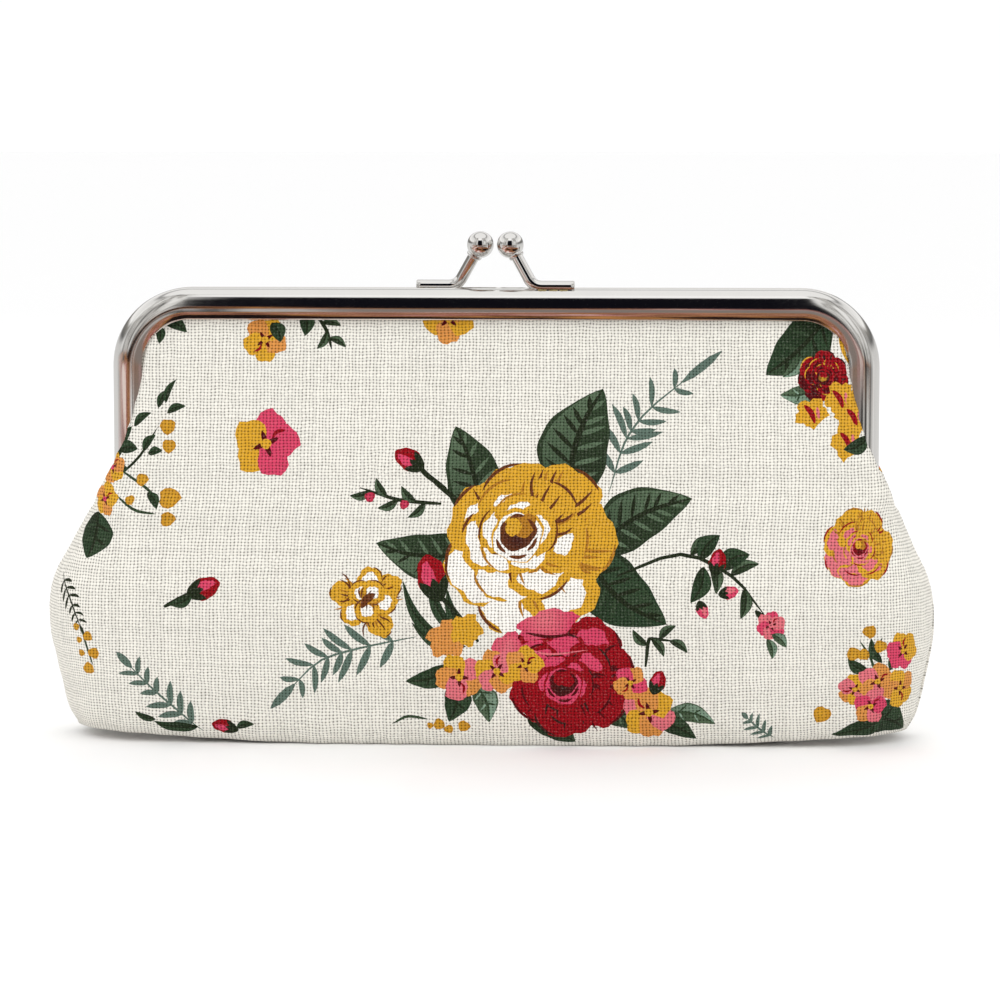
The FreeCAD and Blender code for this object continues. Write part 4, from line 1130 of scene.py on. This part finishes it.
def thread_material():
    """Spun sewing thread."""
    nodes = Nodes("sewing_thread")
    where = nodes.object_place()
    fibres = nodes.noise(where, 4000.0, 3.0)
    nodes.set(Base_Color=nodes.mix(fibres, (0.62, 0.59, 0.52), (0.86, 0.83, 0.76)))
    nodes.set(Roughness=nodes.remap(fibres, 0, 1, 0.7, 0.9))
    nodes.bump(fibres, 0.5, 0.0001)
    return nodes.material


# ---------------------------------------------------------------- metal frame


def face_curve():
    """Outer face of the rolled section, lip to outline, as (inset, distance from the mouth plane)."""
    outer = [(0.0, 0.0)]
    for radius, first, last in FACE_ARCS:
        slopes = np.radians(np.linspace(first, last, 11 if radius < 1 else 10))
        for a, b in zip(slopes, slopes[1:]):
            inset, deep = outer[-1]
            inset -= radius * (math.sin(b) - math.sin(a))
            outer.append((inset, deep + radius * (math.cos(b) - math.cos(a))))
    outer = np.array(outer)
    return outer + (-outer[-1, 0], FACE_FRONT - outer[:, 1].max())


def frame_section():
    """Closed section of the sheet metal as (inset from the outline, distance from the mouth plane)."""
    outer = face_curve()
    way = np.gradient(outer, axis=0)
    way /= np.linalg.norm(way, axis=1, keepdims=True)
    inner = outer + np.stack([-way[:, 1], way[:, 0]], 1) * -WALL
    inner = inner[(inner[:, 1] > 1.6) & (outer[:, 0] < outer[0, 0] - 0.35)][::-1]
    mouth = [(0, 1.2), (0, 0.75), (0.05, 0.45), (0.2, 0.27), (0.45, 0.2), (2.5, 0.2), (4.6, 0.2), (4.9, 0.26)]
    mouth += [(5.0, 0.45), (4.9, 0.68), (4.6, 0.75), (2.5, 0.78), (1.0, 0.8), (0.7, 1.0), (0.6, 1.4)]
    lip = (outer[0, 0] - 0.12, outer[0, 1] - 0.3)
    return [tuple(map(float, point)) for point in [*outer, *mouth, *inner, lip]]


def arch_frames():
    """Places along the frame's outline with their outward direction, left arm end to right arm end."""
    steps = 26
    bar = HALF_FRAME - CORNER
    out = [((-HALF_FRAME, z), (-1.0, 0.0)) for z in np.linspace(ARM_END, FRAME_TOP - CORNER, 14)]
    for sign, start in ((-1, 180), (1, 90)):
        centre = (sign * bar, FRAME_TOP - CORNER)
        for k in range(1, steps):
            angle = math.radians(start - 90 * k / steps)
            way = (math.cos(angle), math.sin(angle))
            out.append(((centre[0] + CORNER * way[0], centre[1] + CORNER * way[1]), way))
        if sign < 0:
            out += [((x, FRAME_TOP), (0.0, 1.0)) for x in np.linspace(-bar, bar, 60)]
    out += [((HALF_FRAME, z), (1.0, 0.0)) for z in np.linspace(FRAME_TOP - CORNER, ARM_END, 14)]
    return out


def extruded(bm, profile, low, high, place):
    """Closed prism of a profile; place turns (across, up, along) into a point."""
    rings = [[bm.verts.new(place(a, u, w)) for a, u in profile] for w in (low, high)]
    bridge(bm, rings)
    bm.faces.new(rings[0][::-1])
    bm.faces.new(rings[1])


def hinge_ears(bm, side, turn):
    """Two flat ears round the rivets; the rear ones are joggled inwards by a step."""
    root, edge = -MOUTH_Y, ARM_END + 1.4
    ear = [(root, HINGE_Z + 1.5), (root, edge), (-FACE_Y + 0.5, edge), (-FACE_Y + 0.2, ARM_END - 0.2)]
    ear += [(EAR_RADIUS * math.cos(a), HINGE_Z + EAR_RADIUS * math.sin(a)) for a in np.linspace(3.5, 7.6, 22)]
    step = [(root - 0.1, ARM_END + 0.3), (root - 0.1, ARM_END + 1.3), (-4.0, ARM_END + 1.3), (-4.0, ARM_END + 0.3)]
    low = HALF_FRAME - (0.6 if side < 0 else 1.3)
    for hand in (-1, 1):
        def place(a, u, w):
            return Vector((w * hand * turn, a * turn, u)) * MM

        extruded(bm, ear, low + 0.02, low + 0.58, place)
        if side > 0:
            extruded(bm, step, low + 0.3, HALF_FRAME - 0.2, place)


def frame_half(name, side, material):
    """One folded, crowned and polished channel with its two hinge ears."""
    bm = bmesh.new()
    turn = -side
    profile = frame_section()
    rings = []
    for (x, z), (nx, nz) in arch_frames():
        points = [Vector(((x - nx * inset) * turn, -deep * turn, z - nz * inset)) * MM for inset, deep in profile]
        rings.append([bm.verts.new(point) for point in points])
    bridge(bm, rings)
    bm.faces.new(rings[0])
    bm.faces.new(rings[-1][::-1])
    hinge_ears(bm, side, turn)
    bmesh.ops.recalc_face_normals(bm, faces=bm.faces)
    return from_bmesh(name, bm, material, sharp=50)


def tube(bm, centres, radii, segments):
    """Closed round tube through points with a radius in millimetres at each."""
    centres = [Vector(c) for c in centres]
    side = Vector((0, 1, 0))
    rings = []
    for i, (centre, radius) in enumerate(zip(centres, radii)):
        way = (centres[min(i + 1, len(centres) - 1)] - centres[max(i - 1, 0)]).normalized()
        across = (side - way * side.dot(way)).normalized()
        other = way.cross(across)
        turns = [2 * math.pi * k / segments for k in range(segments)]
        spokes = [across * math.cos(t) + other * math.sin(t) for t in turns]
        rings.append([bm.verts.new(centre + spoke * radius * MM) for spoke in spokes])
    bridge(bm, rings)
    bm.faces.new(rings[0][::-1])
    bm.faces.new(rings[-1])


def clasp_line():
    """Axis of the clasp rod in the plane of the frame: foot, knee and stem, (across, up)."""
    knee = BALL_X + BALL_RISE / math.tan(ROD_SLOPE)
    run = ROD_BEND * math.tan(ROD_SLOPE / 2)
    points = [(x, 0.0) for x in np.linspace(FOOT_END - 0.25, knee + run, 8)]
    for k in range(1, 12):
        angle = ROD_SLOPE * k / 12
        points.append((knee + run - ROD_BEND * math.sin(angle), ROD_BEND * (1 - math.cos(angle))))
    start = np.array((knee - run * math.cos(ROD_SLOPE), run * math.sin(ROD_SLOPE)))
    end = np.array((BALL_X, BALL_RISE))
    return points + [tuple(start + (end - start) * t) for t in np.linspace(0, 0.86, 8)]


def clasp(word, side, material):
    """Clasp rod, ball and braze marks of one half."""
    turn = -side
    lean = math.asin(BALL_LEAN / BALL_RISE)

    def place(across, up, off=0.0):
        y = -2.5 + up * math.sin(lean) + off
        return Vector((across * turn, y * turn, FRAME_TOP + FOOT_RISE + up * math.cos(lean))) * MM

    rod = clasp_rod(f"{word}_clasp_rod", place, material)
    knob = clasp_knob(f"{word}_clasp_knob", place, material)
    return rod, knob, braze_marks(word, place)


def clasp_rod(name, place, material):
    """Bent round rod with a chamfered end, its foot flattened where it sits on the frame."""
    line = clasp_line()
    centres = [place(FOOT_END, 0), place(FOOT_END - 0.04, 0)] + [place(*p) for p in line]
    bm = bmesh.new()
    tube(bm, centres, [0.85, 1.12] + [ROD_RADIUS] * len(line), 32)
    floor = (FRAME_TOP + 0.01) * MM
    for vert in bm.verts:
        vert.co.z = max(vert.co.z, floor)
    return from_bmesh(name, bm, material, sharp=45)


def clasp_knob(name, place, material):
    """Ball with the collar that holds it on the rod."""
    bm = bmesh.new()
    bmesh.ops.create_uvsphere(bm, u_segments=64, v_segments=40, radius=BALL_RADIUS * MM)
    centre = place(BALL_X, BALL_RISE)
    for vert in bm.verts:
        vert.co += centre
    way = (place(*clasp_line()[-1]) - centre).normalized()
    neck = [centre + way * d * MM for d in (2.35, 2.62, 2.84, 3.02, 3.14, 3.18)]
    tube(bm, neck, (1.60, 1.70, 1.66, 1.54, 1.38, 1.28), 40)
    return from_bmesh(name, bm, material, sharp=50)


def braze_marks(word, place):
    """Small uneven beads of brazing metal where the foot meets the frame."""
    rng = random.Random(word)
    bm = bmesh.new()
    for k in range(9):
        off = (-1.15, 1.15)[k % 3 > 1] + rng.uniform(-0.1, 0.1)
        bead = bmesh.ops.create_icosphere(bm, subdivisions=3, radius=1.0)["verts"]
        radii = Vector((rng.uniform(0.5, 1.0), rng.uniform(0.35, 0.5), rng.uniform(0.25, 0.42))) * MM
        centre = place(9.8 + 0.75 * k, 0.0, off)
        centre.z = (FRAME_TOP + 0.05) * MM
        for vert in bead:
            vert.co = Vector(a * b for a, b in zip(vert.co, radii)) + centre
    return from_bmesh(f"{word}_clasp_braze", bm, metal_material(f"{word}_braze", (0.50, 0.40, 0.20), 0.4))


def seam_stitches(bag, material):
    """Row of lock stitches along the side and bottom seams, just inside the cloth."""
    bm = bmesh.new()
    heights = np.arange(47.5, -2.9, -0.4)
    lines = [bag.at(hand * bag.edge(heights), heights, 1.0) for hand in (-1, 1)]
    across = np.arange(-81, 81, 0.4)
    lines.append(bag.at(across, np.full(len(across), BASE_SEAM + 0.2), 1.2))
    for line in lines:
        for i in range(0, len(line) - 6, 6):
            path = [Vector((x, 0.0, z)) * MM for x, _, z in line[i:i + 6]]
            tube(bm, path, (0.10, 0.20, 0.22, 0.22, 0.20, 0.10), 8)
    return from_bmesh("seam_stitches", bm, material)


# ---------------------------------------------------------------- camera, light and floor
CAMERA_AZIMUTH = 3.0
CAMERA_ELEVATION = 5.6
CAMERA_DISTANCE = 0.85
CAMERA_LENS = 143.0
CAMERA_TARGET = (0.0010, 0.0, 0.0505)
# name, place, size and power of each lamp
LAMPS = (
    ("key", (-0.45, -0.75, 0.85), 0.7, 1.6),
    ("fill", (0.7, -0.6, 0.6), 0.7, 0.8),
    ("back", (0.1, 0.8, 0.9), 0.8, 1.6),
)
# bowl of surroundings: inner and outer radius, floor and rim height, in metres
BOWL_HOLE, BOWL_RADIUS = 0.045, 0.34
BOWL_FLOOR, BOWL_RIM = 0.0012, 0.62
# colours of the surroundings, as (place along the ramp, colour)
WARM_STREAKS = (
    (0.0, (0.010, 0.007, 0.007)), (0.20, (0.05, 0.020, 0.015)), (0.32, (0.66, 0.30, 0.10)),
    (0.46, (0.08, 0.03, 0.02)),
    (0.58, (0.70, 0.33, 0.20)), (0.70, (0.05, 0.015, 0.015)), (0.84, (0.62, 0.22, 0.20)), (1.0, (0.95, 0.80, 0.74)),
)
SILVER_STREAKS = (
    (0.0, (0.06, 0.06, 0.06)), (0.16, (0.40, 0.39, 0.38)), (0.42, (0.72, 0.71, 0.69)), (0.58, (0.24, 0.24, 0.23)),
    (0.68, (0.80, 0.79, 0.77)), (1.0, (1.0, 1.0, 1.0)),
)
COOL_BANDS = (
    (0.0, (0.85, 0.85, 0.85)), (0.21, (0.72, 0.72, 0.72)), (0.26, (0.16, 0.16, 0.16)), (0.33, (0.30, 0.29, 0.27)),
    (0.38, (1.1, 1.1, 1.1)), (0.70, (0.9, 0.9, 0.9)), (0.85, (0.30, 0.30, 0.30)), (1.0, (0.9, 0.9, 0.9)),
)


def studio():
    """Camera at eye level, pale floor, soft light and surroundings that only reflections see."""
    scene = bpy.context.scene
    scene.view_settings.view_transform = "Standard"
    world = bpy.data.worlds.new("studio")
    world.use_nodes = True
    background = world.node_tree.nodes["Background"]
    background.inputs[0].default_value = (1, 1, 1, 1)
    background.inputs[1].default_value = 1.02
    scene.world = world
    scene.camera = add_camera(scene)
    for lamp in LAMPS:
        add_lamp(scene, *lamp)
    add_floor()
    reflection_bowl()


def add_camera(scene):
    """Camera aimed at the purse from a little to the right and above."""
    data = bpy.data.cameras.new("camera")
    data.lens = CAMERA_LENS
    data.sensor_width = 36.0
    camera = bpy.data.objects.new("camera", data)
    scene.collection.objects.link(camera)
    azimuth, elevation = math.radians(CAMERA_AZIMUTH), math.radians(CAMERA_ELEVATION)
    flat = math.cos(elevation)
    way = Vector((math.sin(azimuth) * flat, -math.cos(azimuth) * flat, math.sin(elevation)))
    camera.location = Vector(CAMERA_TARGET) + way * CAMERA_DISTANCE
    camera.rotation_euler = (-way).to_track_quat("-Z", "Y").to_euler()
    return camera


def add_lamp(scene, name, place, size, power):
    """Soft square lamp aimed at the purse, without a highlight in the metal."""
    light = bpy.data.lights.new(name, "AREA")
    light.energy = power
    light.size = size
    lamp = bpy.data.objects.new(name, light)
    lamp.location = place
    lamp.rotation_euler = (Vector((0, 0, 0.04)) - Vector(place)).to_track_quat("-Z", "Y").to_euler()
    lamp.visible_glossy = False
    scene.collection.objects.link(lamp)


def add_floor():
    """Wide sheet of white paper."""
    bm = bmesh.new()
    bmesh.ops.create_grid(bm, x_segments=2, y_segments=2, size=12.0)
    nodes = Nodes("floor_paper")
    nodes.set(Base_Color=(0.97, 0.97, 0.97, 1.0), Roughness=0.9)
    return from_bmesh("floor", bm, nodes.material)


def reflection_bowl():
    """Bowl of surroundings round the purse, seen only in the metal."""
    bm = bmesh.new()
    turns = [2 * math.pi * k / 96 for k in range(96)]
    bridge(bm, [
        [bm.verts.new((reach * math.sin(t), -reach * math.cos(t), z)) for t in turns]
        for reach, z in ((BOWL_HOLE, BOWL_FLOOR), (BOWL_RADIUS, BOWL_FLOOR), (BOWL_RADIUS, BOWL_RIM))
    ])
    bowl = from_bmesh("reflection_bowl", bm, surroundings_material())
    bowl.visible_camera = False
    bowl.visible_diffuse = False
    bowl.visible_shadow = False
    bowl.visible_transmission = False
    return bowl


def surroundings_material():
    """Glow of the bowl: warm streaks below, a dark band above them, silver at the sides, greys behind."""
    nodes = Nodes("surroundings")
    where = nodes.object_place()
    x, y, z = nodes.split(where)
    away = nodes.math("SQRT", nodes.plus(nodes.times(x, x), nodes.times(y, y)))
    run = nodes.minus(z, nodes.times(nodes.minus(BOWL_RADIUS, away), 0.35))
    stretched = nodes.combine(nodes.times(x, 9.0), nodes.times(run, 27.0), 3.7)
    streaks = nodes.noise(stretched, 1.0, 3.0, 0.55)
    warm = ramp(nodes, nodes.remap(streaks, 0.40, 0.61, 0.0, 1.0), WARM_STREAKS)
    warp = nodes.scaled(nodes.noise(where, 4.0, 1.0), 0.11, -0.055)
    upright = nodes.combine(nodes.times(x, 24.0), nodes.times(y, 24.0), nodes.times(z, 5.0))
    silver = ramp(nodes, nodes.remap(nodes.noise(upright, 1.0, 2.0), 0.36, 0.62, 0.0, 1.0), SILVER_STREAKS)
    aside = nodes.math("ABSOLUTE", nodes.plus(x, nodes.times(warp, 0.4)))
    plain = nodes.mix(nodes.remap(aside, 0.07, 0.10, 0.0, 1.0), (0.26, 0.22, 0.20), silver)
    wall = nodes.remap(away, BOWL_RADIUS - 0.015, BOWL_RADIUS - 0.005, 0.0, 1.0)
    low_wall = nodes.times(wall, nodes.remap(z, 0.050, 0.066, 1.0, 0.0))
    warm = nodes.mix(nodes.times(low_wall, nodes.remap(x, -0.15, -0.12, 0.0, 1.0)), warm, plain)
    lift = nodes.plus(z, nodes.times(warp, nodes.remap(z, 0.15, 0.3, 1.0, 0.0)))
    dark = nodes.mix(nodes.remap(lift, 0.36, 0.40, 0.0, 1.0), (0.005, 0.005, 0.008), (1.15, 1.15, 1.15))
    dark = nodes.mix(nodes.remap(aside, 0.105, 0.135, 0.0, 1.0), dark, silver)
    ahead = nodes.mix(nodes.remap(lift, 0.078, 0.092, 0.0, 1.0), warm, dark)
    height_share = nodes.math("DIVIDE", nodes.plus(z, nodes.times(warp, 0.5)), BOWL_RIM)
    behind = ramp(nodes, height_share, COOL_BANDS)
    on_floor = nodes.remap(away, BOWL_RADIUS - 0.02, BOWL_RADIUS - 0.04, 0.0, 1.0)
    floor_front = nodes.times(on_floor, nodes.remap(y, 0.0, -0.05, 0.0, 1.0))
    front = nodes.math("MAXIMUM", nodes.remap(y, -0.03, -0.25, 0.0, 1.0), floor_front)
    nodes.set(Base_Color=(0, 0, 0, 1), Roughness=1.0, Emission_Color=nodes.mix(front, behind, ahead))
    nodes.set(Emission_Strength=1.0, Specular_IOR_Level=0.0)
    return nodes.material


def ramp(nodes, value, stops):
    """Colour ramp with its stops given as (place, colour)."""
    node = nodes.add("ShaderNodeValToRGB")
    nodes.put(node.inputs[0], value)
    elements = node.color_ramp.elements
    while len(elements) < len(stops):
        elements.new(0.5)
    for element, (place, colour) in zip(elements, stops):
        element.position = place
        element.color = (*colour, 1.0)
    return node.outputs[0]


# ---------------------------------------------------------------- assembly
def blend_cloth(piece):
    """Bake the cloth's placement into its mesh."""
    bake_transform(piece)


def soft_pieces(word, side, seed, materials):
    """Printed cloth, interlining and lining of one side; returns the surface of the printed cloth."""
    bag = Bag(seed, side)
    panel = cloth_panel(f"{word}_cloth", bag, side, materials["cloth"])
    pad_bag = Bag(seed, side, PADDING_INSET)
    pad = soft_layer(f"{word}_interlining", pad_bag, side, PADDING_THICK, materials["padding"], 88.0, 5.0)
    inner_bag = Bag(seed, side, LINING_INSET)
    inner = soft_layer(f"{word}_lining", inner_bag, side, LINING_THICK, materials["lining"], 92.2, 0.6)
    layers = ((panel, "outer", "printed_cloth"), (pad, "padding", "interlining"), (inner, "lining", "lining_cloth"))
    for piece, node, slot in layers:
        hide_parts(f"{node}_{word}_lower", f"{word}_{node}_upper")
        blend_cloth(piece)
    return bag


def metal_pieces(word, side, materials):
    """Frame half and clasp of one side."""
    half = frame_half(f"{word}_frame_metal", side, materials["nickel"])
    rod, knob, braze = clasp(word, side, materials["knob"])
    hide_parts(f"{word}_frame")
    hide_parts(f"{word}_clasp_arm")
    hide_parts(f"{word}_clasp_ball")
    for piece, slot in ((half, "frame_metal"), (rod, "clasp_metal"), (knob, "clasp_metal"), (braze, "clasp_metal")):
        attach(piece, f"{word}_half")


def build():
    """Make every piece; tie the metal pieces and the seam stitches to their bodies."""
    studio()
    materials = {
        "cloth": cloth_material(), "lining": lining_material(), "padding": padding_material(),
        "nickel": metal_material("frame_nickel"), "knob": metal_material("clasp_nickel", rough=0.06),
    }
    paper = cord_material()
    for seed, word, side, layout in ((3, "front", -1, front_print), (4, "rear", 1, rear_print)):
        inks.clear()
        layout()
        bag = soft_pieces(word, side, seed, materials)
        metal_pieces(word, side, materials)
        repaint(f"{word}_channel_cord", paper)
        if word == "front":
            stitches = seam_stitches(bag, thread_material())
            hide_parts("seam_thread")
            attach(stitches, "pouch")
    for hand in ("left", "right"):
        repaint(f"hinge_rivet_{hand}", materials["nickel"])


def repaint(node, material):
    """Give a CAD node a better material."""
    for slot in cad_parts[node].material_slots:
        slot.material = material


build()
